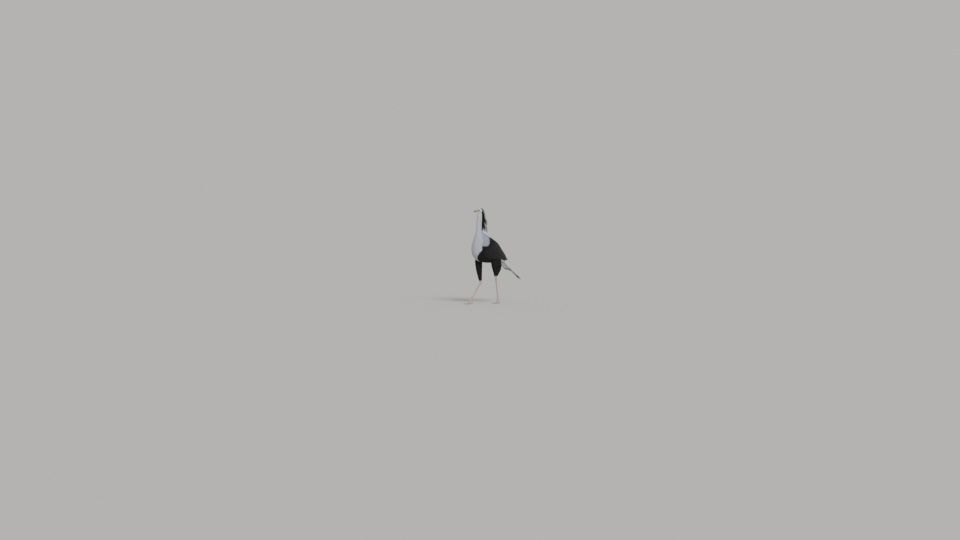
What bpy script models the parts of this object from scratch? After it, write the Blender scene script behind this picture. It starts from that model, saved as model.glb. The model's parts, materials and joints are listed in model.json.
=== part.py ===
"""A secretary bird, life size, in mid-stride with its head up and its wings folded.

The bird faces -Y, its left side is +X, and it stands on the plane z = 0. Each named part is a closed
solid that gives the outline of the plumage, and neighbouring parts keep a gap of SEAM. All lengths are in
metres.
"""

import math

import bmesh
import bpy
from mathutils import Matrix, Vector

# ---- Driving dimensions --------------------------------------------------------------------------

SEAM = 0.0004  # gap between two parts that touch
TURNS = 20  # points round the neck and the trunk

HEAD_CENTRE = Vector((-0.004, -0.143, 1.228))
HEAD_TURN = math.radians(-14)  # to the bird's right
HEAD_DIP = math.radians(5)  # bill below the level
EYE_PLACE = Vector((0.0182, -0.0125, 0.0070))  # in the head's own frame
EYE_RADIUS = 0.0108
BILL_ROOT = -0.0385  # where the feathered face ends, in the head's own frame
CERE_LENGTH = 0.0125

# Profile of neck and trunk, from the head down: nape or back point y, z, throat or belly point y, z, and half
# width.
BODY = (
    (-0.116, 1.214, -0.170, 1.206, 0.0260),
    (-0.122, 1.140, -0.181, 1.134, 0.0270),
    (-0.124, 1.065, -0.188, 1.056, 0.0295),
    (-0.119, 0.995, -0.195, 0.980, 0.0360),
    (-0.096, 0.945, -0.208, 0.908, 0.0490),
    (-0.052, 0.914, -0.230, 0.842, 0.0700),
    (0.000, 0.890, -0.253, 0.770, 0.0910),
    (0.054, 0.863, -0.262, 0.700, 0.1065),
    (0.108, 0.827, -0.243, 0.628, 0.1145),
    (0.154, 0.780, -0.184, 0.571, 0.1150),
    (0.185, 0.728, -0.096, 0.543, 0.1065),
    (0.205, 0.679, 0.000, 0.534, 0.0910),
    (0.224, 0.635, 0.084, 0.536, 0.0700),
    (0.242, 0.600, 0.150, 0.544, 0.0480),
    (0.258, 0.574, 0.200, 0.552, 0.0280),
)
NECK_END = 4.0  # row of BODY where neck and trunk part

# The surface that the folded wings lie on: the trunk as far as its row 10, then the bundle of flight
# feathers.
WING_BED = BODY[:11] + (
    (0.210, 0.686, 0.028, 0.541, 0.0960),
    (0.239, 0.648, 0.114, 0.550, 0.0790),
    (0.265, 0.613, 0.187, 0.561, 0.0600),
    (0.292, 0.581, 0.246, 0.562, 0.0410),
    (0.320, 0.552, 0.300, 0.544, 0.0230),
)
# Wing outline, from the wrist to the tip: row of WING_BED, upper and lower edge in degrees from the back's
# middle line, and depth of the plumage over the bed.
WING = (
    (5.30, 66.0, 84.0, 0.0060),
    (5.75, 50.0, 102.0, 0.0150),
    (6.70, 37.0, 116.0, 0.0205),
    (8.00, 27.0, 124.0, 0.0210),
    (9.50, 20.0, 125.0, 0.0185),
    (11.00, 15.0, 119.0, 0.0150),
    (12.30, 13.0, 106.0, 0.0115),
    (13.50, 13.0, 86.0, 0.0080),
    (14.35, 15.0, 62.0, 0.0055),
    (14.80, 22.0, 44.0, 0.0040),
)
WING_LIFT = 0.0012  # least height of the plumage over the bed
WING_ROOT_DEPTH = 0.016  # how far the uncut wing reaches under its bed at the wrist
WING_TIP_DEPTH = 0.0025  # and at the tip, where the feathers hang free
BED_RADIUS = 0.060  # of the bed, about, to turn a gap into degrees

TAIL_ROOT = Vector((0.0, 0.150, 0.618))
TAIL_SLOPE = math.radians(-39)
# Tail fan: distance from the root, half width, half thickness, how far the edges droop.
TAIL_FAN = (
    (0.000, 0.024, 0.0180, 0.004),
    (0.060, 0.040, 0.0240, 0.012),
    (0.120, 0.047, 0.0200, 0.017),
    (0.190, 0.050, 0.0100, 0.018),
    (0.260, 0.055, 0.0045, 0.018),
    (0.325, 0.058, 0.0026, 0.018),
    (0.350, 0.048, 0.0018, 0.014),
)
STREAMER_FROM, STREAMER_TO = 0.110, 0.530  # the two long middle feathers
STREAMER_HALF_WIDTH = 0.0165
STREAMER_THICKNESS = 0.0020
STREAMER_SINK = 0.050  # past the fan, how soon a streamer comes down to the fan's middle plane

# Per leg: knee, ankle and foot joint. The right leg leads and the left one trails, and the feet are placed so
# that the bird's weight acts between them.
LEGS = {
    "left": ((0.058, 0.050, 0.594), (0.056, 0.089, 0.338), (0.046, 0.131, 0.030)),
    "right": ((-0.058, -0.116, 0.590), (-0.056, -0.078, 0.280), (-0.070, -0.250, 0.030)),
}
DRUMSTICK_BOW = 0.035  # how far the drumstick bows forward, as a share of its length
# Drumstick: share of the way from knee to ankle, half width, half depth.
DRUMSTICK = (
    (0.00, 0.036, 0.050),
    (0.18, 0.038, 0.052),
    (0.36, 0.035, 0.046),
    (0.56, 0.030, 0.038),
    (0.76, 0.024, 0.029),
    (0.92, 0.0185, 0.0215),
    (1.00, 0.0130, 0.0145),
)
# The plumage that hangs behind each drumstick, as depth at its fullest, and its share at each of the rows.
FULLNESS = {"left": 0.086, "right": 0.010}
FULLNESS_SHARES = (0.45, 0.80, 1.00, 0.88, 0.42, 0.08, 0.00)
# Tarsus: share of the way from ankle to foot joint, half width, half depth.
TARSUS = (
    (-0.050, 0.0060, 0.0070),
    (-0.035, 0.0125, 0.0140),
    (0.000, 0.0160, 0.0178),
    (0.050, 0.0152, 0.0168),
    (0.120, 0.0112, 0.0135),
    (0.300, 0.0090, 0.0115),
    (0.600, 0.0086, 0.0108),
    (0.850, 0.0102, 0.0118),
    (0.960, 0.0128, 0.0136),
)
# Where the toes meet: distance below the tarsus, half width, half depth.
KNUCKLE = (
    (0.000, 0.0128, 0.0136),
    (0.010, 0.0145, 0.0150),
    (0.020, 0.0150, 0.0158),
    (0.028, 0.0140, 0.0150),
)
TOE_ROOT_AHEAD = 0.004  # of the foot joint
# Toes: name, angle from straight ahead towards the bird's middle, length, radius at root and at the claw.
TOES = (
    ("middle", 0.0, 0.076, 0.0102, 0.0072),
    ("inner", 31.0, 0.052, 0.0096, 0.0070),
    ("outer", -30.0, 0.055, 0.0094, 0.0068),
    ("hind", 166.0, 0.030, 0.0082, 0.0064),
)
SOLE_SHARE = 0.86  # height of a toe's middle line, as a share of its radius, so that its sole is flat
CLAW_LENGTH = 0.021
CLAW_BASE_RADIUS = 0.0046
CLAW_BEND = math.radians(58)
CLAW_FLATNESS = 0.42  # how much of its bend takes a claw down

# Crest, from the top layer down the nape: plumes, length, degrees that they rise at the root and fall at the
# tip, and their root's y, z in the head's own frame.
CREST = (
    (3, 0.262, 52.0, 80.0, 0.025, 0.024),
    (4, 0.345, 20.0, 86.5, 0.030, 0.012),
    (3, 0.300, -12.0, 91.5, 0.035, 0.000),
)
PLUME_SPACING = 0.0088  # between the roots of a layer
# Each place off the middle of its layer, a plume is this much shorter, rises less, fans out and rolls.
PLUME_SHORTER, PLUME_LOWER, PLUME_FAN, PLUME_ROLL = 0.06, 5.0, 22.0, 24.0
PLUME_HALF_WIDTH = 0.0112
PLUME_THICKNESS = 0.0018
PLUME_DROOP = 12.0  # how early a plume turns from its lift to hanging

FINISHES = {  # colour, roughness, metallic
    "pale_plumage": ((0.42, 0.45, 0.49), 0.85, 0.0),
    "black_plumage": ((0.016, 0.014, 0.015), 0.75, 0.0),
    "tail_plumage": ((0.30, 0.31, 0.33), 0.80, 0.0),
    "leg_skin": ((0.43, 0.31, 0.28), 0.60, 0.0),
    "claw_horn": ((0.035, 0.030, 0.030), 0.40, 0.0),
    "bill_horn": ((0.16, 0.19, 0.24), 0.38, 0.0),
    "cere_skin": ((0.62, 0.36, 0.06), 0.50, 0.0),
    "eye_gloss": ((0.05, 0.025, 0.012), 0.08, 0.0),
}


# ---- Tools ---------------------------------------------------------------------------------------


def blend(rows, t):
    """The Catmull-Rom value at t, counted in rows, of a table of numbers."""
    last = len(rows) - 1
    t = min(max(t, 0.0), last)
    i = min(int(t), last - 1)
    f = t - i
    around = (rows[max(i - 1, 0)], rows[i], rows[i + 1], rows[min(i + 2, last)])
    return [
        b + 0.5 * f * (c - a + f * (2 * a - 5 * b + 4 * c - d + f * (3 * b - a - 3 * c + d)))
        for a, b, c, d in zip(*around)
    ]


def blend_at(rows, x):
    """The row at x of a table whose first column rises, without that column."""
    i = 0
    while i < len(rows) - 2 and rows[i + 1][0] < x:
        i += 1
    share = (x - rows[i][0]) / (rows[i + 1][0] - rows[i][0])
    return blend(rows, i + share)[1:]


def finish(name):
    """The named material, made the first time it is asked for."""
    material = bpy.data.materials.get(name)
    if material is None:
        colour, roughness, metallic = FINISHES[name]
        material = bpy.data.materials.new(name)
        material.use_nodes = True
        shader = material.node_tree.nodes["Principled BSDF"]
        shader.inputs["Base Color"].default_value = (*colour, 1.0)
        shader.inputs["Roughness"].default_value = roughness
        shader.inputs["Metallic"].default_value = metallic
        material.diffuse_color = (*colour, 1.0)
    return material


def add(name, mesh, material, parent):
    """A named object from a bmesh, with its faces pointing out."""
    bmesh.ops.triangulate(mesh, faces=mesh.faces)
    bmesh.ops.recalc_face_normals(mesh, faces=mesh.faces)
    data = bpy.data.meshes.new(name)
    mesh.to_mesh(data)
    mesh.free()
    data.shade_smooth()
    data.set_sharp_from_angle(angle=math.radians(50))
    data.materials.append(finish(material))
    obj = bpy.data.objects.new(name, data)
    obj.parent = parent
    bpy.context.scene.collection.objects.link(obj)
    return obj


def loft(name, rings, material, parent):
    """A closed solid through rings of equally many points."""
    mesh = bmesh.new()
    loops = [[mesh.verts.new(p) for p in ring] for ring in rings]
    for a, b in zip(loops, loops[1:]):
        for i in range(len(a)):
            j = (i + 1) % len(a)
            mesh.faces.new((a[i], a[j], b[j], b[i]))
    mesh.faces.new(loops[0])
    mesh.faces.new(loops[-1])
    return add(name, mesh, material, parent)


def slab(name, upper, under, material, parent):
    """A closed solid between two grids of points that face each other."""
    mesh = bmesh.new()
    grids = [[[mesh.verts.new(p) for p in row] for row in grid] for grid in (upper, under)]
    for grid in grids:
        for a, b in zip(grid, grid[1:]):
            for i in range(len(a) - 1):
                mesh.faces.new((a[i], a[i + 1], b[i + 1], b[i]))
    top, low = grids
    rims = [(top[0], low[0]), (top[-1], low[-1])]
    rims += [([row[k] for row in top], [row[k] for row in low]) for k in (0, -1)]
    for a, b in rims:
        for i in range(len(a) - 1):
            mesh.faces.new((a[i], a[i + 1], b[i + 1], b[i]))
    return add(name, mesh, material, parent)


def helper(obj):
    """Marks a guide that only cuts or joins other parts, and returns it."""
    obj.hide_render = True
    obj.display_type = "WIRE"
    return obj


def combine(obj, operation, *others):
    """Cuts or joins an object with others by Boolean modifiers, and returns it."""
    for other in others:
        modifier = obj.modifiers.new(f"{operation} {other.name}", "BOOLEAN")
        modifier.operation = operation
        modifier.solver = "EXACT"
        modifier.object = other
    return obj


def tube_rings(stations, sides, grow=0.0):
    """Rings square to a path. Each station is a centre, a half width along X and a half depth."""
    rings = []
    last = len(stations) - 1
    for i, (centre, wide, deep) in enumerate(stations):
        along = (stations[min(i + 1, last)][0] - stations[max(i - 1, 0)][0]).normalized()
        side = (Vector((1, 0, 0)) - along * along.x).normalized()
        out = along.cross(side)
        end = {0: -grow, last: grow}.get(i, 0.0)
        ring = []
        for k in range(sides):
            angle = math.tau * k / sides
            reach = side * math.cos(angle) * (wide + grow) + out * math.sin(angle) * (deep + grow)
            ring.append(centre + along * end + reach)
        rings.append(ring)
    return rings


# ---- Neck and trunk ------------------------------------------------------------------------------


def body_point(rows, t, angle, grow=0.0):
    """A point on the surface through rows, at an angle from the back's middle line towards +X."""
    back_y, back_z, front_y, front_z, half_width = blend(rows, t)
    back, front = Vector((0, back_y, back_z)), Vector((0, front_y, front_z))
    rise = (back - front).normalized()
    half_depth = (back - front).length / 2
    reach = rise * math.cos(angle) * (half_depth + grow)
    reach.x += math.sin(angle) * (half_width + grow)
    return (back + front) / 2 + reach


def profile_rings(rows, sides, steps, grow=0.0, start=0.0, end=None):
    """Rings across a table of upper point, lower point and half width."""
    end = len(rows) - 1 if end is None else end
    rings = []
    for i in range(steps + 1):
        t = start + (end - start) * i / steps
        rings.append([body_point(rows, t, math.tau * k / sides, grow) for k in range(sides)])
    if grow:
        middles = [sum(ring, Vector()) / sides for ring in rings]
        for outer, inner in ((0, 1), (-1, -2)):
            push = (middles[outer] - middles[inner]).normalized() * grow
            rings[outer] = [p + push for p in rings[outer]]
    return rings


def make_neck_and_trunk(bird):
    row_gap = 0.006  # about SEAM, in rows of BODY
    neck = loft("neck", profile_rings(BODY, TURNS, 9, end=NECK_END - row_gap), "pale_plumage", bird)
    loft("trunk", profile_rings(BODY, TURNS, 18, start=NECK_END), "pale_plumage", bird)
    around = loft("around_trunk", profile_rings(BODY, TURNS, 18, SEAM, NECK_END), "pale_plumage", bird)
    return neck, helper(around)


# ---- Head ----------------------------------------------------------------------------------------

# Head and bill profiles, in the head's own frame: upper point y, z, lower point y, z, and half width.
SKULL = (
    (0.0405, 0.0050, 0.0400, -0.0080, 0.0060),
    (0.0370, 0.0155, 0.0385, -0.0190, 0.0155),
    (0.0280, 0.0245, 0.0320, -0.0275, 0.0215),
    (0.0150, 0.0300, 0.0190, -0.0310, 0.0262),
    (0.0000, 0.0318, 0.0020, -0.0300, 0.0278),
    (-0.0140, 0.0292, -0.0130, -0.0268, 0.0262),
    (-0.0260, 0.0236, -0.0250, -0.0232, 0.0216),
    (-0.0335, 0.0188, -0.0330, -0.0206, 0.0172),
    (BILL_ROOT, 0.0162, BILL_ROOT, -0.0190, 0.0148),
)
CERE = (
    (BILL_ROOT - SEAM, 0.0150, BILL_ROOT - SEAM, -0.0036, 0.0132),
    (BILL_ROOT - 0.0045, 0.0152, BILL_ROOT - 0.0045, -0.0036, 0.0126),
    (BILL_ROOT - CERE_LENGTH, 0.0146, BILL_ROOT - CERE_LENGTH, -0.0040, 0.0114),
)
BILL_START = BILL_ROOT - CERE_LENGTH - SEAM
UPPER_BILL = (
    (BILL_START, 0.0142, BILL_START, -0.0040, 0.0111),
    (BILL_START - 0.0100, 0.0135, BILL_START - 0.0088, -0.0050, 0.0096),
    (BILL_START - 0.0195, 0.0106, BILL_START - 0.0158, -0.0060, 0.0079),
    (BILL_START - 0.0272, 0.0050, BILL_START - 0.0212, -0.0074, 0.0059),
    (BILL_START - 0.0318, -0.0024, BILL_START - 0.0246, -0.0096, 0.0040),
    (BILL_START - 0.0334, -0.0100, BILL_START - 0.0280, -0.0128, 0.0023),
    (BILL_START - 0.0330, -0.0172, BILL_START - 0.0316, -0.0174, 0.0008),
)
LOWER_BILL = (
    (BILL_ROOT - SEAM, -0.0064, BILL_ROOT - SEAM, -0.0176, 0.0112),
    (BILL_START, -0.0068, BILL_START, -0.0168, 0.0096),
    (BILL_START - 0.0100, -0.0078, BILL_START - 0.0100, -0.0158, 0.0077),
    (BILL_START - 0.0180, -0.0090, BILL_START - 0.0180, -0.0149, 0.0054),
    (BILL_START - 0.0228, -0.0106, BILL_START - 0.0228, -0.0138, 0.0026),
)


def ball(name, centre, radius, material, parent, sides=12):
    """A ball with its poles at the bird's left and right."""
    mesh = bmesh.new()
    place = Matrix.Translation(centre) @ Matrix.Rotation(math.pi / 2, 4, "Y")
    bmesh.ops.create_uvsphere(mesh, u_segments=sides, v_segments=sides // 2, radius=radius, matrix=place)
    return add(name, mesh, material, parent)


def make_head(bird, neck):
    """The head, its bill and its eyes, in a frame of their own that is then turned and dipped."""
    frame = bpy.data.objects.new("head_frame", None)
    frame.location = HEAD_CENTRE
    frame.rotation_euler = (HEAD_DIP, 0.0, HEAD_TURN)
    frame.parent = bird
    bpy.context.scene.collection.objects.link(frame)

    head = loft("head", profile_rings(SKULL, 20, 12), "pale_plumage", frame)
    around = helper(loft("around_head", profile_rings(SKULL, 20, 12, SEAM), "pale_plumage", frame))
    combine(neck, "DIFFERENCE", around)

    loft("cere", profile_rings(CERE, 16, 3), "cere_skin", frame)
    loft("bill_upper", profile_rings(UPPER_BILL, 12, 10), "bill_horn", frame)
    jaw = loft("bill_lower", profile_rings(LOWER_BILL, 12, 6), "bill_horn", frame)
    for name, rows, steps in (("cere", CERE, 3), ("bill_upper", UPPER_BILL, 10)):
        guide = helper(loft(f"around_{name}", profile_rings(rows, 12, steps, SEAM), "bill_horn", frame))
        combine(jaw, "DIFFERENCE", guide)

    for side, name in ((1, "left"), (-1, "right")):
        place = Vector((side * EYE_PLACE.x, EYE_PLACE.y, EYE_PLACE.z))
        ball(f"eye_{name}", place, EYE_RADIUS, "eye_gloss", frame)
        socket = helper(ball(f"socket_{name}", place, EYE_RADIUS + SEAM, "eye_gloss", frame))
        combine(head, "DIFFERENCE", socket)
    return frame, around


# ---- Crest ---------------------------------------------------------------------------------------


def plume_path(length, lift, hang, fan, steps=10):
    """Middle line of a crest plume: it leaves the nape backwards, arches over and hangs."""
    points = [Vector((0, 0, 0))]
    step = length / steps
    for i in range(steps):
        share = (i + 0.5) / steps
        fall = lift - (lift + hang) * (1 - (1 - share) ** PLUME_DROOP)
        level = math.cos(fall) * step
        spread = fan * math.exp(-1.5 * share)
        ahead = Vector((math.sin(spread) * level, math.cos(spread) * level, math.sin(fall) * step))
        points.append(points[-1] + ahead)
    return points


def plume_rings(path, roll):
    """Lens-shaped rings along a plume's middle line: it widens towards a round end."""
    rings = []
    last = len(path) - 1
    for i, p in enumerate(path):
        share = i / last
        along = (path[min(i + 1, last)] - path[max(i - 1, 0)]).normalized()
        level = (Vector((1, 0, 0)) - along * along.x).normalized()
        over = level.cross(along)
        side = level * math.cos(roll) - over * math.sin(roll)
        out = over * math.cos(roll) + level * math.sin(roll)
        swell = 0.30 + 0.70 * share**1.6
        wide = PLUME_HALF_WIDTH * swell * math.sqrt(max(1 - share**9, 0.03))
        thick = PLUME_THICKNESS / 2
        shape = ((-1, 0), (0, 1), (1, 0), (0, -1))
        rings.append([p + side * wide * a + out * thick * b for a, b in shape])
    return rings


def make_crest(head_frame, around_head):
    number = 0
    for count, length, lift, hang, root_y, root_z in CREST:
        for k in range(count):
            number += 1
            off = k - (count - 1) / 2
            own_length = length * (1 - PLUME_SHORTER * abs(off))
            own_lift = math.radians(lift - PLUME_LOWER * abs(off))
            path = plume_path(own_length, own_lift, math.radians(hang), math.radians(PLUME_FAN) * off)
            root = Vector((off * PLUME_SPACING, root_y, root_z))
            rings = plume_rings([root + p for p in path], math.radians(PLUME_ROLL) * off)
            plume = loft(f"crest_plume_{number}", rings, "black_plumage", head_frame)
            combine(plume, "DIFFERENCE", around_head)


# ---- Wings ---------------------------------------------------------------------------------------


def wing_solid(name, side, parent, grow=0.0, rows=16, columns=10):
    """A folded wing over WING_BED, reaching under it so that the trunk can be cut away."""
    first, last = WING[0][0], WING[-1][0]
    upper, under = [], []
    for i in range(rows + 1):
        # Rows crowd towards both ends, where the outline is round.
        t = first + (last - first) * (0.5 - 0.5 * math.cos(math.pi * i / rows)) ** 0.85
        top, low, depth = blend_at(WING, t)
        along = (t - first) / (last - first)
        root = WING_ROOT_DEPTH * (1 - along) ** 0.7 + WING_TIP_DEPTH
        edge = math.degrees(grow / BED_RADIUS)
        outer, inner = [], []
        for k in range(columns + 1):
            across = 2 * k / columns - 1
            angle = math.radians(top - edge + (low - top + 2 * edge) * k / columns) * side
            crown = max(1 - abs(across) ** 3.2, 0.0) ** 0.6
            outer.append(body_point(WING_BED, t, angle, WING_LIFT + depth * crown + grow))
            inner.append(body_point(WING_BED, t, angle, -root - grow))
        upper.append(outer)
        under.append(inner)
    return slab(name, upper, under, "black_plumage", parent)


def make_wings(bird, around_trunk):
    guides = []
    for side, name in ((1, "left"), (-1, "right")):
        wing = wing_solid(f"wing_{name}", side, bird)
        combine(wing, "DIFFERENCE", around_trunk)
        guides.append(helper(wing_solid(f"around_wing_{name}", side, bird, SEAM)))
    return guides


# ---- Tail ----------------------------------------------------------------------------------------


def tail_place(distance, across, droop, lift=0.0):
    """A point of the tail: distance from its root, and share of the way to its edge."""
    back = Vector((0, math.cos(TAIL_SLOPE), math.sin(TAIL_SLOPE)))
    up = Vector((0, -math.sin(TAIL_SLOPE), math.cos(TAIL_SLOPE)))
    return TAIL_ROOT + back * distance + up * (lift - droop * across * across)


def tail_grid(grow, columns=8):
    """The upper and under surface of the tail fan."""
    upper, under = [], []
    last = len(TAIL_FAN) - 1
    steps = 10
    for i in range(steps + 1):
        distance, wide, thick, droop = blend(TAIL_FAN, last * i / steps)
        distance += {0: -grow, steps: grow}.get(i, 0.0)
        over, below = [], []
        for k in range(columns + 1):
            across = 2 * k / columns - 1
            place = tail_place(distance, across, droop)
            place.x = across * (wide + grow)
            half = thick * (1 - 0.55 * abs(across)) + grow
            over.append(place + Vector((0, 0, half)))
            below.append(place - Vector((0, 0, half)))
        upper.append(over)
        under.append(below)
    return upper, under


def make_tail(bird, guides):
    tail = slab("tail", *tail_grid(0.0), "tail_plumage", bird)
    combine(tail, "DIFFERENCE", *guides)
    fan_end = TAIL_FAN[-1][0]
    for side, name in ((1, "left"), (-1, "right")):
        rings = []
        steps = 11
        for i in range(steps + 1):
            share = i / steps
            distance = STREAMER_FROM + (STREAMER_TO - STREAMER_FROM) * share
            # Over the fan the feather rests on its crown, and beyond it sinks to its middle plane.
            crown = blend_at(TAIL_FAN, min(distance, fan_end))[1]
            rest = math.exp(-max(distance - fan_end, 0) / STREAMER_SINK)
            over = crown / math.cos(TAIL_SLOPE) + SEAM + STREAMER_THICKNESS
            middle = tail_place(distance, 0, 0, over * rest)
            swell = 0.55 + 0.45 * min(share * 4, 1)
            wide = STREAMER_HALF_WIDTH * swell * math.sqrt(max(1 - share**10, 0.02))
            middle.x = side * (wide + SEAM)
            up = Vector((0, -math.sin(TAIL_SLOPE), math.cos(TAIL_SLOPE))) * STREAMER_THICKNESS / 2
            shape = ((-1, 0), (-0.5, 1), (0.5, 1), (1, 0), (0.5, -1), (-0.5, -1))
            rings.append([middle + Vector((wide * a, 0, 0)) + up * b for a, b in shape])
        streamer = loft(f"tail_streamer_{name}", rings, "tail_plumage", bird)
        combine(streamer, "DIFFERENCE", *guides)


# ---- Legs ----------------------------------------------------------------------------------------


def leg_stations(start, end, profile, bow=0.0):
    """Stations of a limb between two joints, bowed forward by a share of its length."""
    way = end - start
    forward = Vector((0, -1, 0)) * way.length * bow
    return [
        (start + way * share + forward * math.sin(math.pi * min(max(share, 0), 1)), wide, deep)
        for share, wide, deep in profile
    ]


def filled_behind(stations, depth):
    """The stations of a drumstick, deeper by the plumage that hangs behind it."""
    return [
        (centre + Vector((0, 1, 0)) * depth * share / 2, wide, deep + depth * share / 2)
        for (centre, wide, deep), share in zip(stations, FULLNESS_SHARES)
    ]


def toe_rings(root, heading, length, root_radius, tip_radius, sides=8):
    """A toe with a flat sole on the floor."""
    across = Vector((-heading.y, heading.x, 0))
    profile = (  # share of the length, lift over the floor, radius
        (-0.10, 0.0120, root_radius * 0.96),
        (0.08, 0.0030, root_radius * 1.14),
        (0.30, 0.0, root_radius * 1.05),
        (0.50, 0.0, root_radius * 0.93),
        (0.72, 0.0, tip_radius * 1.16),
        (0.90, 0.0, tip_radius * 1.06),
        (1.00, 0.0, tip_radius * 0.86),
    )
    rings = []
    for share, lift, radius in profile:
        height = lift + SOLE_SHARE * radius
        ring = []
        for k in range(sides):
            angle = math.tau * (k + 0.5) / sides
            p = root + heading * length * share + across * math.cos(angle) * radius
            p.z = max(height + math.sin(angle) * radius, 0.0)
            ring.append(p)
        rings.append(ring)
    return rings


def claw_rings(base, heading, sides=6, steps=4):
    """A blunt claw that curves down to the floor."""
    across = Vector((-heading.y, heading.x, 0))
    rings = []
    for i in range(steps + 1):
        share = i / steps
        bend = CLAW_BEND * share
        arc = CLAW_LENGTH / CLAW_BEND
        middle = base + heading * math.sin(bend) * arc
        middle.z -= (1 - math.cos(bend)) * arc * CLAW_FLATNESS
        radius = CLAW_BASE_RADIUS * (1 - 0.80 * share**1.3)
        up = heading * math.sin(bend * 0.6) + Vector((0, 0, math.cos(bend * 0.6)))
        ring = []
        for k in range(sides):
            angle = math.tau * k / sides
            p = middle + across * math.cos(angle) * radius * 0.82 + up * math.sin(angle) * radius
            p.z = max(p.z, 0.0)
            ring.append(p)
        rings.append(ring)
    return rings


def make_foot(name, joint, rings, bird):
    """Foot with three toes ahead and one behind, as one solid, and its four claws."""
    side = math.copysign(1, joint.x)
    foot = loft(f"foot_{name}", rings, "leg_skin", bird)
    toe_root = Vector((joint.x, joint.y - TOE_ROOT_AHEAD, 0))
    for toe, turn, length, root_radius, tip_radius in TOES:
        angle = math.radians(turn) * side
        heading = Vector((-math.sin(angle), -math.cos(angle), 0))
        solid = toe_rings(toe_root, heading, length, root_radius, tip_radius)
        combine(foot, "UNION", helper(loft(f"toe_{toe}_{name}", solid, "leg_skin", bird)))
        base = toe_root + heading * (length + SEAM)
        base.z = tip_radius * 0.98
        loft(f"claw_{toe}_{name}", claw_rings(base, heading), "claw_horn", bird)


def make_legs(bird, around_trunk, wing_guides):
    for (name, places), wing in zip(LEGS.items(), wing_guides):
        knee, ankle, joint = (Vector(place) for place in places)
        shank = leg_stations(ankle, joint, TARSUS)
        loft(f"tarsus_{name}", tube_rings(shank, 12), "leg_skin", bird)
        around = helper(loft(f"around_tarsus_{name}", tube_rings(shank, 12, SEAM), "leg_skin", bird))

        stick = leg_stations(knee, ankle, DRUMSTICK, DRUMSTICK_BOW)
        stick = filled_behind(stick, FULLNESS[name])
        thigh = loft(f"thigh_{name}", tube_rings(stick, 16), "black_plumage", bird)
        combine(thigh, "DIFFERENCE", around_trunk, around, wing)

        down = (joint - ankle).normalized()
        top = shank[-1][0] + down * SEAM
        rings = tube_rings([(top + down * below, wide, deep) for below, wide, deep in KNUCKLE], 12)
        for ring in rings:
            for p in ring:
                p.z = max(p.z, 0.0)
        make_foot(name, joint, rings, bird)


# ---- The bird ------------------------------------------------------------------------------------


def settle(bird):
    """Moves the whole bird so that the origin is below the middle of its box, on the floor."""
    bpy.context.view_layer.update()
    graph = bpy.context.evaluated_depsgraph_get()
    corners = []
    for obj in bpy.context.scene.objects:
        if obj.type == "MESH" and not obj.hide_render:
            shown = obj.evaluated_get(graph)
            corners += [shown.matrix_world @ v.co for v in shown.data.vertices]
    for axis in (0, 1):
        side = [corner[axis] for corner in corners]
        bird.location[axis] = -(min(side) + max(side)) / 2
    bird.location.z = -min(corner.z for corner in corners)


def main():
    for obj in list(bpy.data.objects):
        bpy.data.objects.remove(obj)
    bird = bpy.data.objects.new("bird", None)
    bpy.context.scene.collection.objects.link(bird)
    neck, around_trunk = make_neck_and_trunk(bird)
    head_frame, around_head = make_head(bird, neck)
    make_crest(head_frame, around_head)
    wing_guides = make_wings(bird, around_trunk)
    make_tail(bird, [around_trunk, *wing_guides])
    make_legs(bird, around_trunk, wing_guides)
    settle(bird)


main()
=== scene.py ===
import json
import math

import bmesh
import bpy
import numpy as np
from mathutils import Euler, Matrix, Vector, noise
from mathutils.bvhtree import BVHTree
from mathutils.kdtree import KDTree

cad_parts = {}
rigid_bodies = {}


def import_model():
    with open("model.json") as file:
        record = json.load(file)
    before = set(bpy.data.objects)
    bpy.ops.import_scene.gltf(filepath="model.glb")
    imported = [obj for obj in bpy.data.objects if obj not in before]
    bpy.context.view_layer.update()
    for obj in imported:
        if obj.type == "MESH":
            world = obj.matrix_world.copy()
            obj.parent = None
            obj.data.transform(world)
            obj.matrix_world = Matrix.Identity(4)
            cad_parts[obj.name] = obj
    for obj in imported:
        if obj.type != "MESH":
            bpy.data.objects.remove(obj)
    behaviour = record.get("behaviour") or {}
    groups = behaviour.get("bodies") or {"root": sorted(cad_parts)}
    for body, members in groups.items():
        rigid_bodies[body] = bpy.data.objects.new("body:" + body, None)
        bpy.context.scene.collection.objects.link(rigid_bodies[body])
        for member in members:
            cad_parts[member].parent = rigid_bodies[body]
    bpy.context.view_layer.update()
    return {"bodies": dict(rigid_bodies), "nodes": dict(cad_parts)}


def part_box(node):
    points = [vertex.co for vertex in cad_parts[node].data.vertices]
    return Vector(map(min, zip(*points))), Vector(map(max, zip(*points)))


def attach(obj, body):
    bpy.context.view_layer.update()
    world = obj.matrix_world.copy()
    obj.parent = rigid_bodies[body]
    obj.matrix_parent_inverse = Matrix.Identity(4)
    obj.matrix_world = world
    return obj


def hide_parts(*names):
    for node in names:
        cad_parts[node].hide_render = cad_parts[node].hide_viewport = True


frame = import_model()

nodes = frame["nodes"]
body = next(iter(frame["bodies"]))
random = np.random.default_rng(11)
sides = {"left": 1, "right": -1}


# general tools: vectors, curves and meshes

def unit(v):
    return v / np.maximum(np.linalg.norm(v, axis=-1, keepdims=True), 1e-9)


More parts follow.
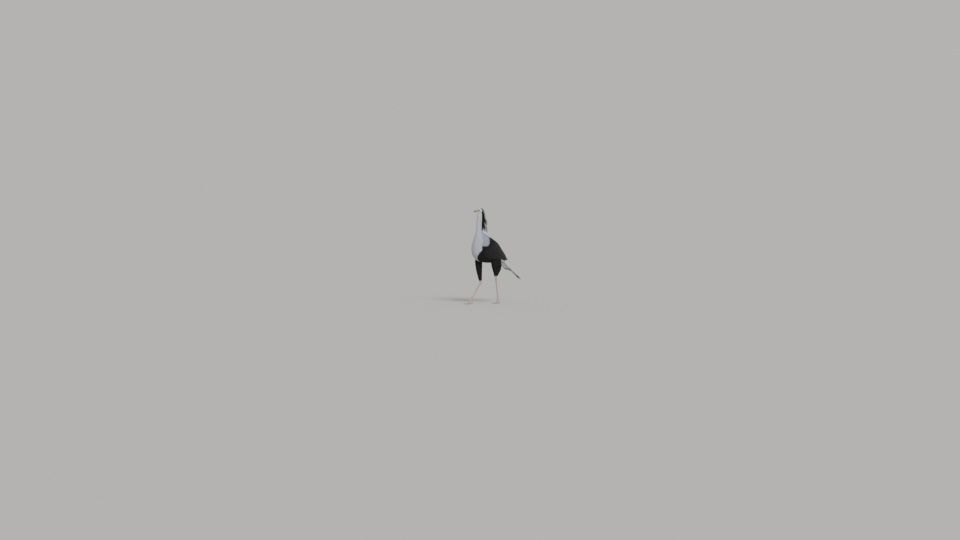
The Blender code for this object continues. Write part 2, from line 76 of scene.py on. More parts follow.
def smoothLine(points, count):
    # evenly spaced places on a smooth curve through the points, and the way it runs at each
    points = np.array(points, float)
    ends = np.vstack([2 * points[0] - points[1], points, 2 * points[-1] - points[-2]])
    dense = []
    for i in range(len(points) - 1):
        a, b, c, d = ends[i:i + 4]
        for f in np.linspace(0, 1, 24, endpoint=False):
            curve = 2 * a - 5 * b + 4 * c - d + f * (3 * b - a - 3 * c + d)
            dense.append(b + 0.5 * f * (c - a + f * curve))
    dense = np.array(dense + [points[-1]])
    length = np.r_[0, np.cumsum(np.linalg.norm(np.diff(dense, axis=0), axis=1))]
    at = np.linspace(0, length[-1], count)
    place = np.stack([np.interp(at, length, dense[:, k]) for k in range(3)], 1)
    return place, unit(np.gradient(place, axis=0))


def ease(x, low, high):
    # 0 below low, 1 above high, smooth between
    t = np.clip((np.asarray(x, float) - low) / (high - low), 0, 1)
    return t * t * (3 - 2 * t)


def blur(values, width, axis, wrap):
    # a soft average along one axis of a grid, width counted in cells
    reach = max(1, int(3 * width))
    weights = np.exp(-0.5 * (np.arange(-reach, reach + 1) / width) ** 2)
    weights /= weights.sum()
    pad = [(0, 0)] * values.ndim
    pad[axis] = (reach, reach)
    wide = np.pad(values, pad, mode="wrap" if wrap else "edge")
    count = values.shape[axis]
    return sum(w * np.take(wide, range(k, k + count), axis) for k, w in enumerate(weights))


def valuesOf(items, field):
    values = np.empty(len(items) * 3)
    items.foreach_get(field, values)
    return values.reshape(-1, 3)


def pointsOf(obj):
    return valuesOf(obj.data.vertices, "co")


def normalsOf(obj):
    return valuesOf(obj.data.vertex_normals, "vector")


def setPoints(obj, points):
    obj.data.vertices.foreach_set("co", points.ravel())
    obj.data.update()


def setValues(obj, key, values):
    # a named value for each point: a whole number, a number, a pair, a way or a colour
    values = np.asarray(values)
    width = 1 if values.ndim == 1 else values.shape[1]
    form, field = {1: ("FLOAT", "value"), 2: ("FLOAT2", "vector"), 3: ("FLOAT_VECTOR", "vector"),
                   4: ("FLOAT_COLOR", "color")}[width]
    form = "INT" if values.dtype.kind == "i" else form
    obj.data.attributes.new(key, form, "POINT").data.foreach_set(field, values.ravel())


def sharpen(obj, rims):
    # a hard edge between each of these pairs of points
    edges = obj.data.attributes.new("sharp_edge", "BOOLEAN", "EDGE")
    edges.data.foreach_set("value", [frozenset(edge.vertices) in rims for edge in obj.data.edges])


def link(*objs):
    for obj in objs:
        bpy.context.scene.collection.objects.link(obj)


def drop(*objs):
    for obj in objs:
        mesh = obj.data
        bpy.data.objects.remove(obj)
        bpy.data.meshes.remove(mesh)


def objectFrom(name, verts, faces):
    mesh = bpy.data.meshes.new(name)
    mesh.from_pydata([tuple(v) for v in verts], [], faces)
    mesh.update()
    return bpy.data.objects.new(name, mesh)


def objectOf(name, mesh):
    # a new object that takes over an edited mesh
    data = bpy.data.meshes.new(name)
    mesh.to_mesh(data)
    mesh.free()
    return bpy.data.objects.new(name, data)


def copyOf(obj):
    return bpy.data.objects.new(obj.name + "Copy", obj.data.copy())


def nodeCopy(*names):
    # a merged copy of some CAD nodes' meshes as one object
    mesh = bmesh.new()
    for name in names:
        mesh.from_mesh(nodes[name].data)
    bmesh.ops.remove_doubles(mesh, verts=mesh.verts, dist=1e-6)
    return objectOf(names[0] + "Copy", mesh)


def surfaceOf(*names):
    # a search tree of the outer faces of some CAD nodes
    verts, faces = [], []
    for name in names:
        mesh = nodes[name].data
        start = len(verts)
        verts += [v.co.copy() for v in mesh.vertices]
        faces += [[start + i for i in p.vertices] for p in mesh.polygons]
    return BVHTree.FromPolygons(verts, faces)


def outward(obj):
    # turns the faces of an own closed mesh outwards
    mesh = bmesh.new()
    mesh.from_mesh(obj.data)
    bmesh.ops.recalc_face_normals(mesh, faces=mesh.faces)
    mesh.to_mesh(obj.data)
    mesh.free()
    return obj


def roundBall(name, centre, radius, detail=4):
    mesh = bmesh.new()
    bmesh.ops.create_icosphere(mesh, subdivisions=detail, radius=radius, matrix=Matrix.Translation(centre))
    return objectOf(name, mesh)


def applied(obj, *others):
    # a plain object with the modifiers' result, in place of the one that carried them
    bpy.context.view_layer.update()
    mesh = bpy.data.meshes.new_from_object(obj.evaluated_get(bpy.context.evaluated_depsgraph_get()))
    name = obj.name
    drop(obj, *others)
    return bpy.data.objects.new(name, mesh)


def melted(name, pieces, voxel, rounds):
    # closed pieces that overlap become one even surface, smoothed a little
    mesh = bmesh.new()
    for piece in pieces:
        mesh.from_mesh(piece.data)
    drop(*pieces)
    obj = objectOf(name, mesh)
    link(obj)
    remesh = obj.modifiers.new("even", "REMESH")
    remesh.mode = "VOXEL"
    remesh.voxel_size = voxel
    smooth = obj.modifiers.new("smooth", "SMOOTH")
    smooth.factor = 0.5
    smooth.iterations = rounds
    return applied(obj)


def combined(target, pieces, operation):
    # one Boolean after another on closed pieces
    link(target, *pieces)
    for piece in pieces:
        cut = target.modifiers.new(piece.name, "BOOLEAN")
        cut.operation = operation
        cut.solver = "MANIFOLD"
        cut.object = piece
    return applied(target, *pieces)


def relaxed(obj, weights, rounds):
    # evens out the points that carry a weight, towards the middle of their neighbours
    edges = np.empty(len(obj.data.edges) * 2, int)
    obj.data.edges.foreach_get("vertices", edges)
    a, b = edges.reshape(-1, 2).T
    points = pointsOf(obj)
    size = len(points)
    count = np.bincount(a, minlength=size) + np.bincount(b, minlength=size)
    for _ in range(rounds):
        total = np.zeros_like(points)
        for k in range(3):
            total[:, k] = np.bincount(a, points[b, k], size) + np.bincount(b, points[a, k], size)
        points += (total / count[:, None] - points) * 0.5 * weights[:, None]
    setPoints(obj, points)


def triangles(obj):
    return sum(len(p.vertices) - 2 for p in obj.data.polygons)


def finishPiece(obj, material=None):
    # shading, link and material of a finished piece, whose place is in its mesh
    link(obj)
    obj.data.shade_smooth()
    if material:
        obj.data.materials.clear()
        obj.data.materials.append(material)
    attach(obj, body)
    return obj


# shells: grids of rings round a line that lie on the CAD solids

def fitShell(tree, line, rings, around, reach, hint=(1, 0, 0), soft=(1.0, 1.0)):
    # ring 0 is at the head's end; angles run from the back's middle line towards the bird's left
    place, way = smoothLine(line, rings)
    hint = np.array(hint, float)
    side = unit(hint - way * (way @ hint)[:, None])
    back = np.cross(side, way)
    angle = np.arange(around) * math.tau / around
    out = back[:, None] * np.cos(angle)[None, :, None] + side[:, None] * np.sin(angle)[None, :, None]
    radius = np.full((rings, around), np.nan)
    for i in range(rings):
        for j in range(around):
            d = Vector(out[i, j])
            hit = tree.ray_cast(Vector(place[i]) + d * reach, -d, reach)
            if hit[0] is not None:
                radius[i, j] = reach - hit[3]
    met = np.flatnonzero(~np.isnan(radius).all(1))
    for i in range(rings):
        radius[i] = radius[met[np.argmin(np.abs(met - i))]] if i not in met else radius[i]
        known = ~np.isnan(radius[i])
        radius[i, ~known] = np.interp(np.flatnonzero(~known), np.flatnonzero(known), radius[i, known],
                                      period=around)
    radius = blur(blur(radius, soft[0], 0, False), soft[1], 1, True)
    return shellFrom(place, way, out, np.maximum(radius, 0.001))


def shellFrom(place, way, out, radius):
    grid = place[:, None] + out * radius[..., None]
    along = np.gradient(grid, axis=0)
    across = np.roll(grid, -1, 1) - np.roll(grid, 1, 1)
    normal = unit(np.cross(across, along))
    normal *= np.sign((normal * out).sum(-1, keepdims=True))
    step = np.linalg.norm(np.diff(place, axis=0), axis=1)
    return {"line": place, "way": way, "rays": out, "radius": radius, "place": grid, "out": normal,
            "lie": unit(along), "length": np.r_[0, np.cumsum(step)]}


def inset(shell, depth):
    # the shell a coat's depth further in; depth is one number or one for each ring
    radius = np.maximum(shell["radius"] - np.reshape(depth, (-1, 1)), 0.0015)
    return shellFrom(shell["line"], shell["way"], shell["rays"], radius)


def thinned(shell, ringStep, turnStep):
    # the same shell with fewer rings and points round
    picked = {key: shell[key][::ringStep, ::turnStep] for key in ("place", "radius", "out", "lie")}
    picked.update({key: shell[key][::ringStep] for key in ("line", "way")})
    return {**shell, **picked}


def readShell(shell, key, ring, turn):
    # a grid's value between its points; ring and turn are counted in cells
    grid = shell[key]
    rings, around = grid.shape[:2]
    ring = np.clip(ring, 0, rings - 1.001)
    turn = np.mod(turn, around)
    i, j = np.floor(ring).astype(int), np.floor(turn).astype(int) % around
    k = (j + 1) % around
    f, g = (ring - i)[:, None], (turn - np.floor(turn))[:, None]
    return (grid[i, j] * (1 - f) * (1 - g) + grid[i + 1, j] * f * (1 - g)
            + grid[i, k] * (1 - f) * g + grid[i + 1, k] * f * g)


def shellFaces(rings, around, wrap=True):
    faces = []
    for i in range(rings - 1):
        for j in range(around if wrap else around - 1):
            k = (j + 1) % around
            faces.append((i * around + j, (i + 1) * around + j, (i + 1) * around + k, i * around + k))
    return faces


def stripFaces(first, width, size):
    # the faces between two rows of points on a sheet's top, and on its underside size points further on
    faces = []
    for a in range(first, first + width - 1):
        faces.append((a, a + width, a + width + 1, a + 1))
        faces.append((a + size, a + size + 1, a + size + width + 1, a + size + width))
    return faces


def closedShell(name, shell, first=0, last=None):
    # a closed solid from a shell, with both ends drawn to a point
    last = len(shell["place"]) - 1 if last is None else last
    grid = shell["place"][first:last + 1]
    rings, around = grid.shape[:2]
    faces = shellFaces(rings, around)
    verts = [tuple(v) for v in grid.reshape(-1, 3)]
    for end, row in ((first, 0), (last, rings - 1)):
        size = shell["radius"][end].mean()
        tip = shell["line"][end] + shell["way"][end] * size * (0.35 if row else -0.35)
        verts.append(tuple(tip))
        for j in range(around):
            faces.append((row * around + j, row * around + (j + 1) % around, len(verts) - 1))
    return outward(objectFrom(name, verts, faces))


def groundOf(name, shell):
    # the surface that feathers are laid on, with the way out at each of its points
    obj = objectFrom(name, shell["place"].reshape(-1, 3), shellFaces(*shell["place"].shape[:2]))
    setValues(obj, "out", shell["out"].reshape(-1, 3))
    link(obj)
    return obj


# colours and node trees

maths, vectorMath = "ShaderNodeMath", "ShaderNodeVectorMath"
mixColour = {"kind": "ShaderNodeMix", "output": 2, "data_type": "RGBA"}
product = {"kind": maths, "operation": "MULTIPLY"}


def linear(code):
    # an sRGB hex colour as the linear values that Blender's nodes take
    parts = [int(code[i:i + 2], 16) / 255 for i in (1, 3, 5)]
    return [p / 12.92 if p <= 0.04045 else ((p + 0.055) / 1.055) ** 2.4 for p in parts] + [1.0]


def opaque(colours):
    return np.concatenate([colours, np.ones((len(colours), 1))], 1)


def addNode(tree, kind, links=None, output=0, **settings):
    # adds a node with its settings and links, and gives one of its outputs
    node = tree.nodes.new(kind)
    for name, value in settings.items():
        setattr(node, name, value)
    for name, value in (links or {}).items():
        if isinstance(value, bpy.types.NodeSocket):
            tree.links.new(value, node.inputs[name])
        else:
            node.inputs[name].default_value = value
    return node.outputs[output] if len(node.outputs) else node


def addNodes(tree, made, steps):
    # adds a node for each step: its name, kind, operation, and inputs that name steps or are numbers
    for name, kind, operation, inputs in steps:
        links = {key: made[value] if isinstance(value, str) else value for key, value in inputs.items()}
        settings = {"operation": operation} if operation else {}
        made[name] = addNode(tree, kind, links, int(operation == "DOT_PRODUCT"), **settings)


def newMaterial(name, **surface):
    # a material with one Principled shader, whose plain values are set on its own sockets
    material = bpy.data.materials.new(name)
    material.use_nodes = True
    tree = material.node_tree
    shader = tree.nodes["Principled BSDF"]
    for socket, value in surface.items():
        shader.inputs[socket].default_value = value
    return material, tree, shader


def painted(tree, colour, layers):
    # lays other colours over one, each where a value passes from low to high, by at most its own share
    for value, low, high, most, other in layers:
        share = addNode(tree, "ShaderNodeMapRange", {0: value, 1: low, 2: high, 4: most})
        colour = addNode(tree, links={0: share, 6: colour, 7: linear(other)}, **mixColour)
    return colour


keratin = {"Specular IOR Level": 0.45, "Subsurface Weight": 0.03, "Subsurface Scale": 0.001}


def dress(tree, shader, colour, height, distance, strength):
    # gives a shader its colour and its fine relief
    bump = addNode(tree, "ShaderNodeBump", {"Height": height, "Distance": distance, "Strength": strength})
    tree.links.new(colour, shader.inputs["Base Color"])
    tree.links.new(bump, shader.inputs["Normal"])


# the plumage's colours, by place on the bird

plumage = {
    "neckGrey": "#b6bfc9",  # head and neck, pale blue-grey
    "breastGrey": "#aeb3c0",
    "shoulderGrey": "#8a93a3",  # mantle and wing coverts, blue-grey
    "black": "#100f12",
    "rumpWhite": "#dcdcd9",
    "tailGrey": "#979ea8",
}
marking = {
    # where the shoulders' grey ends: behind, how much sooner at the sides, below, and its round corner
    "greyBehind": -0.094, "greySide": 0.78, "greyAbove": 0.772, "greyCorner": 0.045,
    # half the pale breast's width by height, and where it ends behind
    "breastHalf": ((0.56, 0.60, 0.75, 0.775, 0.80), (0.0, 0.02, 0.095, 0.14, 0.30)), "breastBack": -0.20,
}
tone = {name: np.array(linear(code)[:3]) for name, code in plumage.items()}
trunkLow, trunkHigh = (Vector(c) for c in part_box("trunk"))
neckTop = Vector(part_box("neck")[1]).z
tailSlope = math.radians(-39)
tailRoot = np.array((0, trunkHigh.y - 0.108, 0.618))


def mixTone(a, b, share):
    return a + (b - a) * np.asarray(share)[..., None]


def isGrey(x, y, z):
    # 1 on the shoulders and the upper back, where the grey of the neck runs on, 0 on the black behind
    behind = y + marking["greySide"] * np.abs(x) - marking["greyBehind"]
    corner = marking["greyCorner"]
    out = np.hypot(np.maximum(behind + corner, 0), np.maximum(marking["greyAbove"] - z + corner, 0)) - corner
    return 1 - ease(out, -0.004, 0.004)


def bodyTone(p):
    # pale in front and above, black on flanks, belly and back
    x, y, z = p.T
    front = mixTone(tone["breastGrey"], tone["neckGrey"], ease(z, 0.86, 0.98))
    mantle = ease(y - (trunkLow.y + 0.085), 0.0, 0.05) * ease(z, 0.80, 0.87) * (1 - ease(z, 0.90, 1.06))
    front = mixTone(front, tone["shoulderGrey"], mantle)
    half = np.interp(z, *marking["breastHalf"])
    breast = ease(half - np.abs(x), -0.003, 0.003) * (1 - ease(y - marking["breastBack"], -0.004, 0.004))
    pale = np.maximum(breast * (z < 0.79), isGrey(x, y, z))
    return mixTone(tone["black"], front, pale)


# the shells of the body's parts

bodyLine = (  # the body's middle line, from the top of the neck to the folded wings' tips: y, z
    (-0.250, 1.212), (-0.263, 1.060), (-0.264, 0.988), (-0.259, 0.926), (-0.248, 0.878), (-0.234, 0.830),
    (-0.211, 0.782), (-0.175, 0.730), (-0.121, 0.680), (-0.061, 0.642), (0.004, 0.616), (0.048, 0.600),
    (0.088, 0.586), (0.128, 0.570), (0.164, 0.550),
)
coatDepth = {  # how much thicker the CAD is than the skin under the feathers
    "head": 0.0014, "neck": 0.0036, "trunk": 0.0062, "wingTip": 0.0025, "thigh": 0.0060, "tail": 0.006,
}

bodyTree = surfaceOf("neck", "trunk", "wing_left", "wing_right")
outerBody = fitShell(bodyTree, [(0, y, z) for y, z in bodyLine], rings=170, around=96, reach=0.24,
                     soft=(1.2, 1.6))
onTrunk, onWingTip = ease(outerBody["length"], 0.25, 0.45), ease(outerBody["line"][:, 1], 0.02, 0.14)
depthDown = coatDepth["neck"] + (coatDepth["trunk"] - coatDepth["neck"]) * onTrunk
depthDown += (coatDepth["wingTip"] - coatDepth["trunk"]) * onWingTip
bodyShell = inset(outerBody, depthDown)
print("body shell fitted")

eyeBoxes = [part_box(f"eye_{side}") for side in sides]
eyeMiddle = sum(((Vector(low) + Vector(high)) / 4 for low, high in eyeBoxes), Vector())
headTurn = Euler((math.radians(5), 0, math.radians(-14))).to_matrix()  # dips and looks to its right
headAt = eyeMiddle - headTurn @ Vector((0, -0.0125, 0.0070))


def inHead(p):
    # from the head's own frame, -Y along the bill, to the frame of the bird
    return headAt + headTurn @ Vector(p)


headLine = [inHead((0, y, z)) for y, z in (
    (-0.0382, -0.0010), (-0.026, 0.0005), (-0.012, 0.0012), (0.002, 0.0012), (0.016, 0.0002),
    (0.029, -0.0012), (0.0400, -0.0015))]
headShell = fitShell(surfaceOf("head", "eye_left", "eye_right"), headLine, rings=72, around=96, reach=0.05,
                     hint=headTurn @ Vector((1, 0, 0)), soft=(1.5, 2.4))
skullShell = inset(headShell, coatDepth["head"])


def endOf(name, way, depth):
    # the middle of a CAD node's points that lie within a depth of its far end along a direction
    points = pointsOf(nodes[name])
    far = points @ np.array(way, float)
    return points[far > far.max() - depth].mean(0)


def centred(tree, points, reach):
    # moves the points of a rough line to the middle of the limb that they run through
    place, way = smoothLine(points, 14)
    side = unit(np.array([1.0, 0, 0]) - way * way[:, :1])
    back = np.cross(side, way)
    for i in range(len(place)):
        hits = []
        for k in range(16):
            d = Vector(back[i] * math.cos(k * math.tau / 16) + side[i] * math.sin(k * math.tau / 16))
            hit = tree.ray_cast(Vector(place[i]) + d * reach, -d, reach)
            if hit[0] is not None:
                hits.append(np.array(hit[0]))
        if len(hits) > 11:
            place[i] = np.mean(hits, 0)
    return place


toes = ("middle", "inner", "outer", "hind")
legs = {}
for side, sign in sides.items():
    ankle = endOf(f"tarsus_{side}", (0, 0, 1), 0.012)
    foot = endOf(f"tarsus_{side}", (0, 0, -1), 0.012)
    low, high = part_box(f"thigh_{side}")
    knee = np.array((sign * 0.058, (low[1] + high[1]) / 2 - 0.004, high[2] + 0.02))
    thighTree, tarsusTree = surfaceOf(f"thigh_{side}"), surfaceOf(f"tarsus_{side}", f"foot_{side}")
    thighLine = centred(thighTree, (knee, (knee + ankle) / 2, ankle), 0.13)
    tarsusLine = (ankle, (ankle + foot) / 2, foot + unit(foot - ankle) * 0.014)
    outerThigh = fitShell(thighTree, thighLine, rings=60, around=48, reach=0.13, soft=(1.2, 1.5))
    depth = coatDepth["thigh"] * np.interp(np.arange(60) / 59, (0, 0.8, 1), (1, 0.85, 0.2))
    claws = {}
    for toe in toes:
        points = pointsOf(nodes[f"claw_{toe}_{side}"])
        claws[toe] = points[np.argsort(np.linalg.norm(points - foot, axis=1))[:24]].mean(0)
    legs[side] = {
        "ankle": ankle, "foot": foot, "claws": claws, "thigh": inset(outerThigh, depth),
        "tarsus": fitShell(tarsusTree, tarsusLine, rings=60, around=40, reach=0.03, soft=(2.0, 1.6)),
    }
print("leg shells fitted")


# the tail's shell: a flat fan on its slope, from inside the rump to its end
tailWay = np.array((0, math.cos(tailSlope), math.sin(tailSlope)))
tailUp = np.array((0, -math.sin(tailSlope), math.cos(tailSlope)))
tailShell = fitShell(surfaceOf("tail"), [tailRoot + tailWay * d for d in (0.055, 0.12, 0.19, 0.26, 0.34)],
                     rings=60, around=48, reach=0.07, soft=(1.0, 0.8))


# the head's skin: brow, lids, cere and wrinkled bare skin round hollow sockets

face = {  # places and half sizes along the head and up it, in the head's own frame
    "eyeRadius": 0.0108, "lid": 0.0010, "socket": 0.00012, "voxel": 0.00080,
    "slitHalf": (0.0071, 0.0058), "slitTurn": 8,  # half the lids' opening, and its tilt in degrees
    "bareAt": (-0.0208, 0.0038), "bareHalf": (0.0180, 0.0096),  # the oval of bare skin round the eye
    "brow": 0.0013, "fold": 0.00017, "foldGap": 0.0023,  # heights of brow and folds, and from fold to fold
    "cereFrom": -0.0372,
    "nostrilAt": (-0.0452, 0.0026), "nostrilHalf": (0.0027, 0.0010), "nostrilDeep": 0.0015,
}
headBasis = np.array(headTurn)
eyes = {}
for side, sign in sides.items():
    centre = inHead((sign * 0.0182, -0.0125, 0.0070))
    axis = (headTurn @ Vector((sign * 0.93, -0.32, 0.05))).normalized()
    forward = headTurn @ Vector((0, -1, 0))
    forward = (forward - axis * forward.dot(axis)).normalized()
    rise = axis.cross(forward) * (1 if axis.cross(forward).z > 0 else -1)
    eyes[side] = {"centre": centre, "axis": axis, "forward": forward, "rise": rise}


def inHeadFrame(points):
    return (points - np.array(headAt)) @ headBasis


def bareFace(points):
    # 1 on the bare skin between bill and ear, 0 where feathers grow
    local = inHeadFrame(points)
    far = np.hypot((local[:, 1] - face["bareAt"][0]) / face["bareHalf"][0],
                   (local[:, 2] - face["bareAt"][1]) / face["bareHalf"][1])
    return (1 - ease(far, 0.93, 1.05)) * ease(np.abs(local[:, 0]), 0.004, 0.008)


def slitOutline(eye, grow, count=48):
    # points of the lids' opening in the eye's own plane: an almond, pointed towards the bill
    points = []
    tilt = math.radians(face["slitTurn"])
    for k in range(count):
        a = k * math.tau / count
        u, v = math.cos(a), math.sin(a)
        v *= (1 - 0.30 * max(u, 0) ** 2) * (0.86 if v > 0 else 1.0)
        u, v = u * (face["slitHalf"][0] + grow), v * (face["slitHalf"][1] + grow)
        u, v = u * math.cos(tilt) + v * math.sin(tilt), v * math.cos(tilt) - u * math.sin(tilt)
        points.append(eye["forward"] * u + eye["rise"] * v)
    return points


def slitCutter(eye):
    # a plug that widens outwards, from inside the eyeball to outside the head
    outline = slitOutline(eye, 0)
    count = len(outline)
    verts = []
    for depth, size in ((0.003, 0.8), (0.020, 1.25)):
        verts += [eye["centre"] + eye["axis"] * depth + p * size for p in outline]
    faces = [(k, (k + 1) % count, count + (k + 1) % count, count + k) for k in range(count)]
    faces += [tuple(range(count))[::-1], tuple(range(count, 2 * count))]
    return outward(objectFrom("slit", verts, faces))


# an even core of skull and neck, and round it the head with its cere and the balls of the lids
core = [closedShell("skull", skullShell), closedShell("neckStub", bodyShell, 0, 16)]
filler = melted("filler", core, voxel=0.0018, rounds=22)
outer = [closedShell("skull", skullShell), nodeCopy("cere")]
outer += [roundBall("lidBall", eye["centre"], face["eyeRadius"] + face["lid"]) for eye in eyes.values()]
headSkin = melted("headSkin", outer, face["voxel"], rounds=4)
local = inHeadFrame(pointsOf(headSkin))
relaxed(headSkin, np.exp(-((local[:, 1] - face["cereFrom"]) / 0.0035) ** 2), 24)


def nostrilAt(local):
    # 1 in the slot of a nostril on the cere's side, 0 away from it
    along, up = ((local[:, k + 1] - face["nostrilAt"][k]) / face["nostrilHalf"][k] for k in (0, 1))
    return np.exp(-(along ** 2 + up ** 2) ** 1.5) * (np.abs(local[:, 0]) > 0.002)


points, normals = pointsOf(headSkin), normalsOf(headSkin)
local = inHeadFrame(points)
push = -face["nostrilDeep"] * nostrilAt(local)
for side, sign in sides.items():
    # the brow runs over the eye from the bill's root back, and shades it
    along = (local[:, 1] + 0.034) / 0.040
    line = 0.0165 + 0.0035 * np.sin(np.clip(along, 0, 1) * math.pi)
    near = np.exp(-((local[:, 2] - line) / 0.0030) ** 2)
    near = near * ease(along, 0, 0.25) * (1 - ease(along, 0.75, 1.05))
    push += face["brow"] * near * (local[:, 0] * sign > 0.006)
    # folds run round the eye on the bare skin
    centre, axis = (np.array(eyes[side][key]) for key in ("centre", "axis"))
    fromEye = points - centre
    far = np.linalg.norm(fromEye - np.outer(fromEye @ axis, axis), axis=1)
    uneven = np.array([noise.noise(Vector(p) * 160) for p in points])  # over about 6 mm
    wave = np.sin((far / face["foldGap"] + 1.1 * uneven) * math.tau)
    here = bareFace(points) * ease(far, 0.0066, 0.0080) * (local[:, 0] * sign > 0)
    push += face["fold"] * wave * here
setPoints(headSkin, points + normals * push[:, None])
headSkin = combined(headSkin, [filler], "UNION")
under = [copyOf(headSkin), closedShell("neckStub", bodyShell, 0, 26)]
headGround = melted("headGround", under, voxel=0.0014, rounds=3)  # its feathers are laid on this
cutters = [roundBall("hollow", eye["centre"], face["eyeRadius"] + face["socket"]) for eye in eyes.values()]
cutters += [slitCutter(eye) for eye in eyes.values()]
headSkin = combined(headSkin, cutters, "DIFFERENCE")
print("head skin", len(headSkin.data.polygons))


# the skin: head, body, thighs, tail root and scaly legs joined into one

scutes = {
    "tarsusPlate": 0.0070, "toePlate": 0.0041,  # how long a plate is on the shin and on the toes
    "spread": 68, "lift": 0.00062, "thick": 0.0007,  # half a plate's width in degrees, its rise, its depth
    "smallScale": 0.0034, "net": 0.00040,  # size and height of the small scales beside the plates
    "voxel": 0.00140, "bareAbove": 0.020, "toeEnd": 0.0052, "knuckle": 0.012,
    "instep": (  # balls that fill it: ahead of the shin, height, radius
        (0.006, 0.019, 0.0150), (0.015, 0.0155, 0.0135), (0.024, 0.0125, 0.0115)),
    "toeTaper": (0.012, 0.34),  # over which length, and by which share, the toes' ends narrow
}

fleshEnd = int(np.argmax(outerBody["line"][:, 1] > trunkHigh.y - 0.060))
solids = []
for side, leg in legs.items():
    pieces = [closedShell("shin", leg["tarsus"]), nodeCopy(f"foot_{side}")]
    pieces += [roundBall("toeEnd", Vector(claw), scutes["toeEnd"], 3) for claw in leg["claws"].values()]
    ahead = unit((leg["claws"]["middle"] - leg["foot"]) * (1, 1, 0))
    for far, high, size in scutes["instep"]:
        spot = leg["foot"] * (1, 1, 0) + ahead * far + np.array((0, 0, high))
        pieces.append(roundBall("instep", Vector(spot), size, 3))
    flesh = melted(f"skinLeg_{side}", pieces, scutes["voxel"], rounds=5)
    # the knuckle and the toes' ends are rounded more than the rest
    points = pointsOf(flesh)
    spots = [(leg["foot"] - (0, 0, 0.004), 0.016)] + [(claw, 0.008) for claw in leg["claws"].values()]
    weights = sum(np.exp(-((points - spot) ** 2).sum(1) / size ** 2) for spot, size in spots)
    relaxed(flesh, np.clip(weights, 0, 1), 26)
    points = pointsOf(flesh)
    taper, narrower = scutes["toeTaper"]
    for claw in leg["claws"].values():
        along = unit((claw - leg["foot"]) * (1, 1, 0))
        t = (points - claw) @ along
        near = np.linalg.norm(points - claw, axis=1) < 0.018
        points -= (points - claw - np.outer(t, along)) * (narrower * ease(t, -taper, 0) * near)[:, None]
    setPoints(flesh, points)
    solids.append(flesh)
    solids.append(closedShell(f"skinThigh_{side}", leg["thigh"]))
solids.append(closedShell("skinTail", inset(tailShell, coatDepth["tail"]), 0, 20))
bodyCore = closedShell("skin", thinned(inset(bodyShell, 0.0006), 2, 2), 0, fleshEnd // 2)
skin = combined(bodyCore, [headSkin] + solids, "UNION")


def bonesOf(leg):
    # start, end, front and plate length of the tarsus and of each toe
    bones = [(leg["ankle"], leg["foot"], np.array((0, -1.0, 0.12)), scutes["tarsusPlate"])]
    for toe in toes:
        root = leg["foot"] * (1, 1, 0) + np.array((0, 0, 0.0125))
        bones.append((root, leg["claws"][toe], np.array((0, 0, 1.0)), scutes["toePlate"]))
    return bones


def platedPart(points, start, end, front):
    # how far each point is from a bone, and how much of it lies under the plates on the bone's front
    axis = unit(end - start)
    rel = points - start
    inside = np.clip(rel @ axis, 0, np.linalg.norm(end - start))
    off = rel - inside[:, None] * axis
    front = unit(front - axis * (front @ axis))
    angle = np.degrees(np.arctan2(off @ np.cross(axis, front), off @ front))
    return np.linalg.norm(off, axis=1), 1 - ease(np.abs(angle), scutes["spread"] - 10, scutes["spread"] + 2)


points, normals = pointsOf(skin), normalsOf(skin)
legMask = np.zeros(len(points))
relief = np.zeros(len(points))
for leg, sign in zip(legs.values(), sides.values()):
    top = leg["ankle"][2]
    index = np.flatnonzero((points[:, 0] * sign > 0) & (points[:, 2] < top + scutes["bareAbove"]))
    found = [platedPart(points[index], *bone[:3]) for bone in bonesOf(leg)]
    nearest = np.argmin([away for away, plated in found], 0)
    plated = np.choose(nearest, [plated for away, plated in found])
    cells = np.array([noise.voronoi(Vector(p) / scutes["smallScale"])[0] for p in points[index]])
    net = np.clip((cells[:, 1] - cells[:, 0]) / 0.35, 0, 1)
    relief[index] = scutes["net"] * (net - 0.6) * (1 - plated)
    legMask[index] = 1 - ease(points[index, 2], top + 0.006, top + scutes["bareAbove"])
setPoints(skin, points + normals * (relief * legMask)[:, None])


